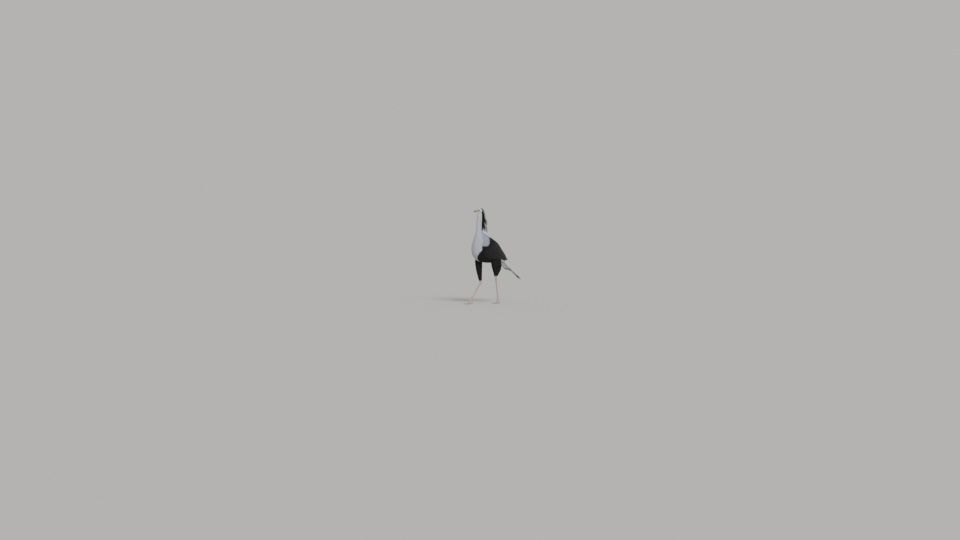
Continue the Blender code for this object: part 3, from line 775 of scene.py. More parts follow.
def plateRow(tree, bone, reach, widest, verts, faces, values):
    # horny plates down the front of a bone, each a closed curved tile whose lower edge stands free; rays
    # from a reach away find the skin, and a plate is left out where it would lie further out than the widest
    start, end, front, plate = bone
    axis = unit(end - start)
    front = unit(front - axis * (front @ axis))
    side = np.cross(axis, front)
    total = np.linalg.norm(end - start)
    columns, rows = 9, 5
    size = rows * columns
    for k in range(int(total / plate)):
        spread = math.radians(scutes["spread"]) * (0.92 + 0.12 * random.random())
        skew = plate * 0.10 * random.uniform(-1, 1)
        own = random.random()
        grid = []
        for f in np.linspace(0, 1, rows):
            for g in np.linspace(-1, 1, columns):
                down = plate * (k + 1.06 * f + 0.10 * (1 - g * g)) + skew * g
                way = front * math.cos(g * spread) + side * math.sin(g * spread)
                spot = start + axis * min(down, total)
                hit, normal, face, far = tree.ray_cast(Vector(spot + way * reach), Vector(-way), reach)
                if hit is not None and (hit - Vector(spot)).length <= widest:
                    edge = (1 - g ** 6) * math.sin(math.pi * (0.08 + 0.80 * f)) ** 0.5
                    lift = scutes["lift"] * (0.30 + 0.70 * f) * edge
                    grid.append((np.array(hit), np.array(normal), lift, f, g))
        if len(grid) < size:
            continue
        base = len(verts)
        for level in (1, 0):
            for hit, normal, lift, f, g in grid:
                verts.append(hit + normal * (lift if level else lift * 0.2 - scutes["thick"]))
                values.append((f, own, abs(g), 1.0))
        for i in range(rows - 1):
            faces += stripFaces(base + i * columns, columns, size)
        rim = [base + j for j in range(columns)] + [base + i * columns + columns - 1 for i in range(1, rows)]
        rim += [base + (rows - 1) * columns + j for j in range(columns - 2, -1, -1)]
        rim += [base + i * columns for i in range(rows - 2, 0, -1)]
        for a, b in zip(rim, rim[1:] + rim[:1]):
            faces.append((a, b, b + size, a + size))


skinTree = BVHTree.FromPolygons([v.co for v in skin.data.vertices], [p.vertices for p in skin.data.polygons])
plateVerts, plateFaces, plateValues = lists = [], [], []
for leg in legs.values():
    shin, *toeBones = bonesOf(leg)
    start, end, front, plate = shin
    low = end + unit(end - start) * scutes["knuckle"]
    plateRow(skinTree, (start, low, front, plate), 0.030, 0.024, *lists)
    plateRow(skinTree, (start, end, -front, plate * 0.8), 0.030, 0.020, *lists)  # down the shin's back
    for start, end, front, plate in toeBones:
        root, tip = start + (end - start) * 0.16, end + unit(end - start) * 0.003
        plateRow(skinTree, (root, tip, front, plate), 0.016, 0.0145, *lists)
plates = outward(objectFrom("legPlates", plateVerts, plateFaces))
setValues(plates, "plate", plateValues)
print("leg plates", len(plateFaces), "faces")


# materials of skin and horn

skinColours = {
    "under": "#b9a79f",  # skin under the feathers
    "faceOrange": "#bd7c4c", "faceYellow": "#cfae78", "faceDeep": "#96593a",
    # nostril: painted shadow, the dark inside the nostril's slot on the cere
    "cere": "#c9b182", "cereDeep": "#a38f68", "nostril": "#1c1512",
    "leg": "#b39a90", "legDark": "#7d665f", "legPale": "#cdbab0", "legJoint": "#9a8178",
}


def makeSkinMaterial():
    # living skin and horny leg scales: matt to satin, translucent at the face, dry and plated on the legs
    material, tree, shader = newMaterial("birdSkin", **{
        "Roughness": 0.5, "IOR": 1.45, "Specular IOR Level": 0.4, "Subsurface Weight": 0.06,
        "Subsurface Scale": 0.002})
    shader.inputs["Subsurface Radius"].default_value = (1.0, 0.35, 0.2)
    place = addNode(tree, "ShaderNodeTexCoord", output="Object")
    colour = addNode(tree, "ShaderNodeAttribute", output="Color", attribute_name="shade")
    bare, nearBill, cere, nostril, leg = (
        addNode(tree, "ShaderNodeAttribute", output="Fac", attribute_name=name)
        for name in ("bare", "nearBill", "cere", "nostril", "leg"))
    mottle = addNode(tree, "ShaderNodeTexNoise", {"Vector": place, "Scale": 260.0, "Detail": 4.0})  # 4 mm
    blotch = addNode(tree, "ShaderNodeTexNoise", {"Vector": place, "Scale": 70.0, "Detail": 2.0})  # 14 mm
    deep = addNode(tree, "ShaderNodeMapRange", {0: mottle, 1: 0.50, 2: 0.72, 4: 0.55})
    # small scales of 2.2 mm between the plates
    cells = addNode(tree, "ShaderNodeTexVoronoi", {"Vector": place, "Scale": 1 / 0.0022}, "Distance",
                    feature="DISTANCE_TO_EDGE")
    groove = addNode(tree, "ShaderNodeMapRange", {0: cells, 1: 0.02, 2: 0.14, 3: 0.7, 4: 0.0})
    patchy = addNode(tree, "ShaderNodeMapRange", {0: blotch, 1: 0.35, 2: 0.68})
    tones = {key: linear(code) for key, code in skinColours.items()}
    horny = addNode(tree, links={0: blotch, 6: tones["cere"], 7: tones["cereDeep"]}, **mixColour)
    legTone = addNode(tree, links={0: patchy, 6: tones["leg"], 7: tones["legPale"]}, **mixColour)
    legTone = addNode(tree, links={0: groove, 6: legTone, 7: tones["legDark"]}, **mixColour)
    orange, yellow = tones["faceOrange"], tones["faceYellow"]
    faceTone = addNode(tree, links={0: nearBill, 6: orange, 7: yellow}, **mixColour)
    faceTone = addNode(tree, links={0: deep, 6: faceTone, 7: tones["faceDeep"]}, **mixColour)
    # the nostril's near-black laid on here is painted shadow
    for share, other in ((bare, faceTone), (cere, horny), (nostril, tones["nostril"]), (leg, legTone)):
        colour = addNode(tree, links={0: share, 6: colour, 7: other}, **mixColour)
    fine = addNode(tree, "ShaderNodeTexNoise", {"Vector": place, "Scale": 1100.0, "Detail": 3.0})  # 1 mm
    grooved = addNode(tree, links={0: groove, 1: leg}, **product)
    height = addNode(tree, "ShaderNodeMath", {0: fine, 1: 0.35, 2: grooved}, operation="MULTIPLY_ADD")
    dress(tree, shader, colour, height, 0.0005, 0.5)
    rough = addNode(tree, "ShaderNodeMapRange", {0: mottle, 1: 0.3, 2: 0.7, 3: 0.42, 4: 0.62})
    tree.links.new(rough, shader.inputs["Roughness"])
    return material


def makePlateMaterial():
    # horny plates: dry satin keratin, each a little different, darker and worn along its free edge
    material, tree, shader = newMaterial("legPlateKeratin", Roughness=0.42, IOR=1.54, **keratin)
    place = addNode(tree, "ShaderNodeTexCoord", output="Object")
    plate = addNode(tree, "ShaderNodeAttribute", output="Vector", attribute_name="plate")
    along, own, aside = addNode(tree, "ShaderNodeSeparateXYZ", {0: plate}).node.outputs
    grain = addNode(tree, "ShaderNodeTexNoise", {"Vector": place, "Scale": 420.0, "Detail": 4.0})  # 2.4 mm
    leg, pale, dark, joint = (skinColours[key] for key in ("leg", "legPale", "legDark", "legJoint"))
    colour = addNode(tree, links={0: own, 6: linear(leg), 7: linear(pale)}, **mixColour)
    colour = painted(tree, colour, (
        (grain, 0.40, 0.75, 0.5, joint), (along, 0.80, 1.0, 0.55, dark), (along, 0.10, 0.0, 0.6, dark),
        (aside, 0.8, 1.0, 0.4, dark)))
    dress(tree, shader, colour, grain, 0.0003, 0.4)
    return material


points = pointsOf(skin)
onHead = points[:, 2] > neckTop - 0.03
local = inHeadFrame(points)
cereMask = (1 - ease(local[:, 1], face["cereFrom"] - 0.0012, face["cereFrom"] + 0.0008)) * onHead
under = bodyTone(points)
under = mixTone(under, np.array(linear(skinColours["under"])[:3]), 0.35 * ease(under.mean(1), 0.05, 0.3))
# white skin round the tail's root, where the coverts' gaps would show it
aboveTail = (points - tailRoot) @ tailUp
onTail = ease((points - tailRoot) @ tailWay, 0.02, 0.03) * (aboveTail > -0.035) * (aboveTail < 0.010)
under = mixTone(under, tone["rumpWhite"], onTail)
setValues(skin, "shade", opaque(under))
setValues(skin, "bare", bareFace(points) * onHead)
setValues(skin, "nearBill", 1 - ease(local[:, 1], -0.040, -0.022))
setValues(skin, "cere", cereMask)
# where the nostril's painted shadow lies: its slot on the cere
setValues(skin, "nostril", np.clip(1.3 * nostrilAt(local) * cereMask, 0, 1))
setValues(skin, "leg", legMask)
finishPiece(skin, makeSkinMaterial())
finishPiece(plates, makePlateMaterial())
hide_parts("head", "cere", "neck", "trunk", "thigh_left", "thigh_right", "tarsus_left",
            "tarsus_right", "foot_left", "foot_right")
print("skin", triangles(skin), "triangles")


# eyes: a ball with a raised cornea, brown iris and black pupil, and the lids' dark rims

eyeLook = {
    "iris": 0.0063, "pupil": 0.0034, "cornea": 0.0009, "rings": 40, "around": 64,
    "gap": 0.00008, "rim": 0.00055,  # between ball and socket, and half the thickness of the lids' edge
}


def makeEyeMaterial():
    # a wet glassy ball: hazel-brown iris with fine spokes, black pupil, dark white of the eye
    material, tree, shader = newMaterial("wetEye", **{
        "Roughness": 0.12, "IOR": 1.376, "Coat Weight": 1.0, "Coat Roughness": 0.02, "Coat IOR": 1.376})
    iris = addNode(tree, "ShaderNodeAttribute", output="Vector", attribute_name="iris")
    angle, far = addNode(tree, "ShaderNodeSeparateXYZ", {0: iris}).node.outputs[:2]
    spokes = addNode(tree, "ShaderNodeCombineXYZ", {  # spokes about 0.2 mm wide and 4 mm long
        "X": addNode(tree, links={0: angle, 1: 26.0}, **product),
        "Y": addNode(tree, links={0: far, 1: 260.0}, **product)})
    grain = addNode(tree, "ShaderNodeTexNoise", {"Vector": spokes, "Scale": 1.0, "Detail": 3.0})
    size, pupil = eyeLook["iris"], eyeLook["pupil"]
    colour = painted(tree, linear("#2e1a0d"), (
        (grain, 0.35, 0.68, 1.0, "#8a5a2c"), (far, 0.0047, size, 0.8, "#1d120b"),
        (far, size - 0.0002, size + 0.0003, 1.0, "#2a211d"),
        (far, pupil + 0.00015, pupil - 0.00015, 1.0, "#020202")))
    tree.links.new(colour, shader.inputs["Base Color"])
    return material


def makeRimMaterial(name, dark, pale, rough):
    # the bare edge of the lids, leathery and slightly moist, and the stiff bristles of the lashes
    material, tree, shader = newMaterial(name, Roughness=rough, IOR=1.45)
    place = addNode(tree, "ShaderNodeTexCoord", output="Object")
    grain = addNode(tree, "ShaderNodeTexNoise", {"Vector": place, "Scale": 900.0, "Detail": 3.0})  # 1.1 mm
    colour = addNode(tree, links={0: grain, 6: linear(dark), 7: linear(pale)}, **mixColour)
    dress(tree, shader, colour, grain, 0.0002, 0.4)
    return material


def eyeBall(name, eye):
    rings, around, radius = eyeLook["rings"], eyeLook["around"], face["eyeRadius"] - eyeLook["gap"]
    verts, iris = [], []
    for i in range(rings + 1):
        polar = math.pi * (i / rings) ** 1.15
        far = radius * math.sin(polar)
        bulge = eyeLook["cornea"] * math.exp(-(polar / 0.50) ** 4)
        for k in range(1 if i in (0, rings) else around):
            a = k * math.tau / around
            flat = eye["forward"] * math.cos(a) + eye["rise"] * math.sin(a)
            way = eye["axis"] * math.cos(polar) + flat * math.sin(polar)
            verts.append(eye["centre"] + way * radius + eye["axis"] * bulge)
            iris.append((a, far if polar < math.pi / 2 else radius))
    faces = []
    for k in range(around):
        j = (k + 1) % around
        faces.append((0, 1 + k, 1 + j))
        for i in range(rings - 2):
            a = 1 + i * around
            faces.append((a + k, a + around + k, a + around + j, a + j))
        a = 1 + (rings - 2) * around
        faces.append((a + k, len(verts) - 1, a + j))
    obj = outward(objectFrom(name, verts, faces))
    setValues(obj, "iris", iris)
    return obj


def ringFaces(a, b, count):
    # the faces between two rings of points that start at a and b
    return [(a + k, a + (k + 1) % count, b + (k + 1) % count, b + k) for k in range(count)]


def tubeRound(name, loop, radius, sideCount=8):
    # a closed tube along a closed loop of points
    loop = np.array([np.array(p) for p in loop])
    ahead = unit(np.roll(loop, -1, 0) - np.roll(loop, 1, 0))
    out = unit(loop - loop.mean(0))
    up = np.cross(ahead, out)
    verts = []
    for p, o, u in zip(loop, out, up):
        for k in range(sideCount):
            a = k * math.tau / sideCount
            verts.append(p + o * math.cos(a) * radius + u * math.sin(a) * radius)
    faces = []
    for i in range(len(loop)):
        faces += ringFaces(i * sideCount, (i + 1) % len(loop) * sideCount, sideCount)
    return outward(objectFrom(name, verts, faces))


def onBall(eye, flat, radius):
    # a point of the eye's own plane, lifted to a ball round the eye
    depth = math.sqrt(max(radius ** 2 - flat.length_squared, 0))
    return eye["centre"] + flat + eye["axis"] * depth


eyeMaterial = makeEyeMaterial()
rimMaterial = makeRimMaterial("moistLidEdge", "#2a1712", "#5a3020", 0.38)
lashMaterial = makeRimMaterial("bristleLash", "#0d0b0b", "#241f1e", 0.5)
lashLook = {
    "count": 19, "length": 0.0105, "thickness": 0.00026, "outline": 144,
    "outside": 0.0004, "above": 0.0008,  # where they root, from the opening's edge and over the eyeball
}
lashVerts, lashFaces = [], []


def addSpike(verts, faces, path, radius, sideCount=4):
    # a closed tapering hair along a path
    ahead = unit(np.gradient(path, axis=0))
    across = unit(np.cross(ahead, (0.31, 0.2, 0.93)))
    over = np.cross(ahead, across)
    start = len(verts)
    for i, p in enumerate(path[:-1]):
        size = radius * (1 - (i / (len(path) - 1)) ** 1.5)
        for k in range(sideCount):
            a = k * math.tau / sideCount
            verts.append(p + (across[i] * math.cos(a) + over[i] * math.sin(a)) * size)
    verts.append(path[-1])
    a = start
    for _ in path[2:]:
        faces += ringFaces(a, a + sideCount, sideCount)
        a += sideCount
    for k in range(sideCount):
        faces.append((a + k, a + (k + 1) % sideCount, len(verts) - 1))
    faces.append(tuple(start + k for k in range(sideCount))[::-1])


for side, eye in eyes.items():
    ball = finishPiece(eyeBall(f"eyeBall_{side}", eye), eyeMaterial)
    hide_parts(f"eye_{side}")
    thick = eyeLook["rim"]
    rim = [onBall(eye, p, face["eyeRadius"] + thick) for p in slitOutline(eye, 0.0001, 72)]
    finishPiece(tubeRound(f"lidRim_{side}", rim, thick), rimMaterial)
    outline = slitOutline(eye, lashLook["outside"], lashLook["outline"])
    for k in range(lashLook["count"]):
        turn = math.radians(20 + 140 * (k + random.uniform(-0.35, 0.35)) / (lashLook["count"] - 1))
        flat = outline[int(turn / math.tau * len(outline)) % len(outline)]
        root = onBall(eye, flat, face["eyeRadius"] + lashLook["above"])
        way = (eye["forward"] * (math.cos(turn) * 0.75 + random.uniform(-0.08, 0.08))
               + eye["rise"] * (math.sin(turn) * 0.35 + random.uniform(-0.07, 0.07)) + eye["axis"] * 0.9)
        way = way.normalized()
        length = lashLook["length"] * (0.65 + 0.35 * math.sin(turn)) * (0.78 + 0.34 * random.random())
        path = []
        for f in np.linspace(0, 1, 7):
            sag = eye["rise"] * (0.25 * f * f) - way * 0.12 * f * f
            path.append(np.array(root + (way * f + sag) * length))
        addSpike(lashVerts, lashFaces, np.array(path), lashLook["thickness"])
finishPiece(objectFrom("lashes", lashVerts, lashFaces), lashMaterial)
print("eyes and", 2 * lashLook["count"], "lashes")


# bill and claws: the CAD's horn pieces, evened out, with growth lines and darker tips

hornLook = {  # name, dark, pale and tip's colour, roughness, and how many streaks to the metre along x, y, z
    "bill_horn": ("billKeratin", "#5f6a75", "#87929c", "#373e46", 0.36, (500, 160, 500)),  # 2 by 6 mm
    "claw_horn": ("clawKeratin", "#2b2725", "#443d39", "#171514", 0.34, (420, 420, 420)),  # 2.4 mm
}
hornMaterials = {}
for slot, (name, dark, pale, tip, rough, streaks) in hornLook.items():
    # keratin sheath: satin, faintly layered along its length, darker towards the tip
    material, tree, shader = newMaterial(name, Roughness=rough, IOR=1.55, **keratin)
    place = addNode(tree, "ShaderNodeTexCoord", output="Object")
    layers = addNode(tree, "ShaderNodeMapping", {"Vector": place, "Scale": streaks})
    grain = addNode(tree, "ShaderNodeTexNoise", {"Vector": layers, "Scale": 1.0, "Detail": 4.0})
    nearTip = addNode(tree, "ShaderNodeAttribute", output="Fac", attribute_name="tip")
    colour = painted(tree, linear(dark), ((grain, 0.32, 0.70, 1.0, pale), (nearTip, 0.0, 1.0, 1.0, tip)))
    dress(tree, shader, colour, grain, 0.00025, 0.35)
    hornMaterials[slot] = material


def hornPiece(piece, slot, sources, tips, reach):
    # finishes a sheath of horn, darker from a reach away towards its tips
    away = np.min([np.linalg.norm(pointsOf(piece) - np.array(tip), axis=1) for tip in tips], 0)
    setValues(piece, "tip", 1 - ease(away, 0.1 * reach, reach))
    finishPiece(piece, hornMaterials[slot])
    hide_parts(*sources)
    print(piece.name, len(piece.data.polygons), "faces")


lowerBill = {
    "rows": (  # in the head's frame: y, top z and bottom z, and half width, from its root to its tip
        (-0.0370, -0.0034, -0.0180, 0.0117), (-0.0450, -0.0032, -0.0173, 0.0106),
        (-0.0520, -0.0032, -0.0168, 0.0097), (-0.0610, -0.0043, -0.0159, 0.0080),
        (-0.0690, -0.0060, -0.0150, 0.0056), (-0.0735, -0.0078, -0.0140, 0.0032)),
    "rings": 40, "around": 40, "square": 2.5,
}


def lowerBillShell():
    # squarish rings along the lower bill, whose rim lies just inside the upper bill's
    rows = np.array(lowerBill["rows"])
    place, way = smoothLine([(0, y, (top + low) / 2) for y, top, low, half in rows], lowerBill["rings"])
    angle = np.arange(lowerBill["around"]) * math.tau / lowerBill["around"]
    side = np.array((1.0, 0, 0))
    up = np.cross(side, way)
    out = up[:, None] * np.cos(angle)[None, :, None] + side * np.sin(angle)[None, :, None]
    tall = np.interp(-place[:, 1], -rows[:, 0], (rows[:, 1] - rows[:, 2]) / 2)[:, None]
    wide = np.interp(-place[:, 1], -rows[:, 0], rows[:, 3])[:, None]
    power = lowerBill["square"]
    radius = (np.abs(np.cos(angle) / tall) ** power + np.abs(np.sin(angle) / wide) ** power) ** (-1 / power)
    return shellFrom(place, way, out, blur(radius, 1.5, 0, False))


billTip = inHead((0, -0.0790, -0.0150))
upper = melted("billUpper", [nodeCopy("bill_upper")], voxel=0.00050, rounds=4)
lower = closedShell("billLower", lowerBillShell())
setPoints(lower, np.array([inHead(p) for p in pointsOf(lower)]))
hornPiece(upper, "bill_horn", ["bill_upper"], [billTip], reach=0.016)
hornPiece(outward(lower), "bill_horn", ["bill_lower"], [billTip], reach=0.016)
clawNames = [f"claw_{toe}_{side}" for side in sides for toe in toes]
clawTips = []
for side, leg in legs.items():
    for toe in toes:
        points = pointsOf(nodes[f"claw_{toe}_{side}"])
        clawTips.append(points[np.argmax(np.linalg.norm(points - leg["foot"], axis=1))])
claws = melted("claws", [nodeCopy(*clawNames)], voxel=0.00055, rounds=3)
hornPiece(claws, "claw_horn", clawNames, clawTips, reach=0.012)


# feathers: one tree lays closed vanes on a ground, from roots that the code below places

def vaneShape(t, tip, root=0.35, peak=0.45):
    # half width along a feather, from 0 at its root to 1 at its tip
    rise = root + (1 - root) * np.sin(np.clip(t / peak, 0, 1) * math.pi / 2)
    return rise * np.sqrt(np.clip(1 - t ** tip, 0, 1))


def vaneTemplate(name, stations, columns, tip, root=0.35, peak=0.45, notch=0.0, ends=7, fray=0.0):
    # a closed feather one unit long and one unit of half width: its top is raised along the middle, its
    # underside is flat, and its end is split into short points
    verts, across, along = [(0, 0, 0)], [0.0], [0.0]
    grid = []
    for t in stations:
        half = vaneShape(t, tip, root, peak)
        row = []
        for c in columns:
            slip = notch * random.uniform(-1, 1) if abs(c) == 1 else 0
            row.append(len(verts))
            verts.append((c * half * (1 + slip), t, 0))
            across.append(c)
            along.append(t)
        grid.append(row)
    last, lastHalf, cap = stations[-1], vaneShape(stations[-1], tip, root, peak), []
    fan = math.radians(78)  # the end's points stand on an arc, so far to each side
    for k in range(ends):
        c = k / (ends - 1) * 2 - 1
        a = c * fan
        arc = (math.cos(a) - math.cos(fan)) / (1 - math.cos(fan))
        t = last + (1 - last) * (0.10 + 0.90 * arc)
        t -= fray * (1 - last) * (random.uniform(0.6, 1.3) if k % 2 else random.uniform(-0.1, 0.25))
        cap.append(len(verts))
        verts.append((lastHalf * math.sin(a) / math.sin(fan) * 0.97, t, 0))
        across.append(c)
        along.append(min(t, 1.0))
    half = len(columns) // 2
    top = [(0, grid[0][j + 1], grid[0][j]) for j in range(len(columns) - 1)]
    low = [(0, grid[0][0], grid[0][-1])]
    for i in range(len(grid) - 1):
        a, b = grid[i], grid[i + 1]
        top += [(a[j], a[j + 1], b[j + 1], b[j]) for j in range(len(columns) - 1)]
        low.append((a[0], b[0], b[-1], a[-1]))
    top += [(grid[-1][j], grid[-1][j + 1], cap[0]) for j in range(half)]
    top += [(grid[-1][j], grid[-1][j + 1], cap[-1]) for j in range(half, len(columns) - 1)]
    top += [(grid[-1][half], cap[k + 1], cap[k]) for k in range(ends - 1)]
    low.append(tuple([grid[-1][0]] + cap + [grid[-1][-1]]))
    obj = outward(objectFrom(name, verts, top + low))
    rim = [0] + [row[0] for row in grid] + cap + [row[-1] for row in grid[::-1]]
    sharpen(obj, {frozenset(pair) for pair in zip(rim, rim[1:] + rim[:1])})
    for key, values in (("across", across), ("along", along), ("level", [1 - c * c for c in across])):
        setValues(obj, key, np.array(values, float))
    vane = obj.data.attributes.new("vane", "FLOAT2", "CORNER")
    vane.data.foreach_set("vector", [x for loop in obj.data.loops for x in (
        across[loop.vertex_index] * 0.5 + 0.5, along[loop.vertex_index])])
    return obj


layInputs = {  # the tree's own numbers: metres, or shares of a feather's half width, and waves to its length
    "Thickness": 0.0004, "Cup": 0.06, "Patch wide": 0.003, "Patch long": 0.003, "Ragged": 0.25,
    "Ragged scale": 9.0,
}


def makeLayTree():
    # roots in, feathers out: instanced, realized, then pressed to the ground at their own heights
    tree = bpy.data.node_groups.new("layFeathers", "GeometryNodeTree")
    sockets = [("Geometry", "Geometry"), ("Feathers", "Collection"), ("Ground", "Object")]
    sockets += [(name, "Float") for name in layInputs] + [("Material", "Material")]
    for name, kind in sockets:
        socket = tree.interface.new_socket(name, in_out="INPUT", socket_type="NodeSocket" + kind)
        if name in layInputs:
            socket.default_value = layInputs[name]
    tree.interface.new_socket("Geometry", in_out="OUTPUT", socket_type="NodeSocketGeometry")
    made = {socket.name: socket for socket in addNode(tree, "NodeGroupInput").node.outputs}
    ways = ("out", "lie", "span", "rootMap")
    for name in ways + ("kind", "along", "across", "level", "wide", "low", "high", "own"):
        form = "FLOAT_VECTOR" if name in ways else "INT" if name == "kind" else "FLOAT"
        made[name] = addNode(tree, "GeometryNodeInputNamedAttribute", {"Name": name}, data_type=form)

    turn = addNode(tree, "FunctionNodeAxesToRotation", {0: made["out"], 1: made["lie"]}, primary_axis="Z",
                   secondary_axis="Y")
    kinds = addNode(tree, "GeometryNodeCollectionInfo", {
        "Collection": made["Feathers"], "Separate Children": True, "Reset Children": True})
    laid = addNode(tree, "GeometryNodeInstanceOnPoints", {
        "Points": made["Geometry"], "Instance": kinds, "Pick Instance": True, "Instance Index": made["kind"],
        "Rotation": turn, "Scale": made["span"]})
    real = addNode(tree, "GeometryNodeRealizeInstances", {"Geometry": laid})
    ground = addNode(tree, "GeometryNodeObjectInfo", {"Object": made["Ground"]}, "Geometry")
    made["spot"] = addNode(tree, "GeometryNodeInputPosition")
    addNodes(tree, made, (
        # a ragged edge: points slide sideways by a smooth noise that differs between feathers
        ("aside", vectorMath, "CROSS_PRODUCT", {0: "lie", 1: "out"}),
        ("aside", vectorMath, "NORMALIZE", {0: "aside"}),
        ("waveX", maths, "MULTIPLY", {0: "along", 1: "Ragged scale"}),
        ("waveY", maths, "MULTIPLY", {0: "own", 1: 97.0}),
        ("wave", "ShaderNodeCombineXYZ", None, {0: "waveX", 1: "waveY", 2: "across"}),
        ("wave", "ShaderNodeTexNoise", None, {"Vector": "wave", "Scale": 1.0, "Detail": 1.0}),
        ("wave", maths, "SUBTRACT", {0: "wave", 1: 0.5}),
        ("slide", maths, "MULTIPLY", {0: "across", 1: "wide"}),
        ("slide", maths, "MULTIPLY", {0: "slide", 1: "Ragged"}),
        ("slide", maths, "MULTIPLY", {0: "slide", 1: "wave"}),
        ("slide", vectorMath, "SCALE", {0: "aside", "Scale": "slide"}),
        ("ragged", vectorMath, "ADD", {0: "spot", 1: "slide"}),
    ))
    # each point's place on the ground under it, and the way out there
    for name, value in (("under", "spot"), ("away", "out")):
        links = {"Mesh": ground, "Value": made[value], "Sample Position": made["ragged"]}
        made[name] = addNode(tree, "GeometryNodeSampleNearestSurface", links, data_type="FLOAT_VECTOR")
    addNodes(tree, made, (
        ("away", vectorMath, "NORMALIZE", {0: "away"}),
        ("off", vectorMath, "SUBTRACT", {0: "ragged", 1: "under"}),
        ("off", vectorMath, "DOT_PRODUCT", {0: "off", 1: "away"}),
        # height over the ground: from low at the root to high at the tip, arched across, with its thickness
        ("rise", maths, "SUBTRACT", {0: "high", 1: "low"}),
        ("share", maths, "POWER", {0: "along", 1: 1.35}),
        ("height", maths, "MULTIPLY_ADD", {0: "rise", 1: "share", 2: "low"}),
        ("cup", maths, "MULTIPLY", {0: "Cup", 1: "wide"}),
        ("height", maths, "MULTIPLY_ADD", {0: "cup", 1: "level", 2: "height"}),
        ("thin", maths, "SUBTRACT", {0: 1.05, 1: "along"}),
        ("thin", maths, "MULTIPLY", {0: "thin", 1: "Thickness"}),
        ("height", maths, "MULTIPLY_ADD", {0: "thin", 1: "level", 2: "height"}),
        ("height", maths, "SUBTRACT", {0: "height", 1: "off"}),
        ("lift", vectorMath, "SCALE", {0: "away", "Scale": "height"}),
        ("pressed", vectorMath, "ADD", {0: "ragged", 1: "lift"}),
        # each feather is a small patch at its root's place on the skin's own unwrap
        ("patchX", maths, "MULTIPLY", {0: "across", 1: 0.5}),
        ("patchX", maths, "MULTIPLY", {0: "patchX", 1: "Patch wide"}),
        ("patchY", maths, "SUBTRACT", {0: "along", 1: 0.5}),
        ("patchY", maths, "MULTIPLY", {0: "patchY", 1: "Patch long"}),
        ("patch", "ShaderNodeCombineXYZ", None, {0: "patchX", 1: "patchY"}),
        ("patch", vectorMath, "ADD", {0: "rootMap", 1: "patch"}),
    ))
    moved = addNode(tree, "GeometryNodeSetPosition", {"Geometry": real, "Position": made["pressed"]})
    mapped = addNode(tree, "GeometryNodeStoreNamedAttribute", {
        "Geometry": moved, "Name": "OFBake", "Value": made["patch"]}, data_type="FLOAT2", domain="CORNER")
    dressed = addNode(tree, "GeometryNodeSetMaterial", {"Geometry": mapped, "Material": made["Material"]})
    addNode(tree, "NodeGroupOutput", {"Geometry": dressed})
    return tree


layTree = makeLayTree()


def vaneKinds(name, count, **shape):
    # a few feathers of one cut that differ at their edges, in a collection of their own
    group = bpy.data.collections.new(name)
    bpy.context.scene.collection.children.link(group)
    for k in range(count):
        group.objects.link(vaneTemplate(f"{name}{k}", **shape))
    return group


threeColumns = (-1, 0, 1)
templates = {
    "body": vaneKinds("bodyVane", 6, stations=(0.13, 0.42, 0.72), columns=threeColumns, tip=5.0, root=0.35,
                      notch=0.08, ends=9, fray=0.24),
    "hair": vaneKinds("hairVane", 3, stations=(0.42,), columns=threeColumns, tip=3.0, root=0.5, ends=5,
                      fray=0.25),
    "thigh": vaneKinds("thighVane", 6, stations=(0.14, 0.42, 0.70), columns=threeColumns, tip=3.0, root=0.4,
                       notch=0.12, ends=7, fray=0.45),
    "flight": vaneKinds("flightVane", 2, stations=(0.04, 0.12, 0.24, 0.37, 0.50, 0.63, 0.75, 0.85, 0.94),
                        columns=(-1, -0.5, 0, 0.5, 1), tip=9.0, root=0.45, peak=0.30, notch=0.02, ends=9),
    "covert": vaneKinds("covertVane", 4, stations=(0.08, 0.24, 0.44, 0.64, 0.82), columns=threeColumns,
                        tip=6.0, root=0.40, peak=0.40, notch=0.04, ends=9, fray=0.10),
}


def tilt(lie, out, angle):
    # turns each way about the way out by an angle in radians
    side = np.cross(out, lie)
    return unit(lie * np.cos(angle)[:, None] + side * np.sin(angle)[:, None])


def layFeathers(name, roots, ground, kind, material, **inputs):
    # runs the tree on a cloud of roots and keeps its result as a plain mesh that rides on the body
    cloud = objectFrom(name + "Roots", roots["place"], [])
    link(cloud)
    for key, values in roots.items():
        if key != "place":
            setValues(cloud, key, values)
    modifier = cloud.modifiers.new("lay", "NODES")
    modifier.node_group = layTree
    wanted = {"Feathers": templates[kind], "Ground": ground, "Material": material, **inputs}
    for item in layTree.interface.items_tree:
        if item.in_out == "INPUT" and item.name in wanted:
            modifier[item.identifier] = wanted[item.name]
    piece = applied(cloud)
    piece.name = name
    for key in ("out", "lie", "span", "low", "high", "kind", "rootMap", "along", "across", "level", "wide"):
        if key in piece.data.attributes:
            piece.data.attributes.remove(piece.data.attributes[key])
    print(name, len(roots["place"]), "feathers,", triangles(piece), "triangles")
    return finishPiece(piece)


# the unwrap of the skin: a rectangle for each shell, with its corner and its size
islands = {
    "body": (0.01, 0.01, 0.46, 0.98), "head": (0.50, 0.74, 0.20, 0.24), "left": (0.50, 0.38, 0.20, 0.32),
    "right": (0.74, 0.38, 0.20, 0.32), "tail": (0.50, 0.02, 0.20, 0.32),
}


def onIsland(shell, island, ring, turn):
    # the unwrap's places for rings and turns of a shell
    x, y, wide, high = islands[island]
    rings, around = shell["place"].shape[:2]
    across = x + wide * np.mod(turn, around) / around
    return np.stack([across, y + high * ring / rings, np.zeros(len(ring))], 1)


def rootsFrom(place, out, lie, half, long, own, kinds, low, high, rootMap):
    # feathers' roots: place, way out, way to the tip, half width, length, own number, how many templates to
    # choose from, heights of root and tip over the ground, and the root's place on the unwrap
    count = len(place)
    return {"place": place, "out": out, "lie": lie, "span": np.stack([half, long, np.ones(count)], 1),
            "wide": half, "own": own, "kind": random.integers(0, kinds, count).astype(np.int32), "low": low,
            "high": high, "rootMap": rootMap}


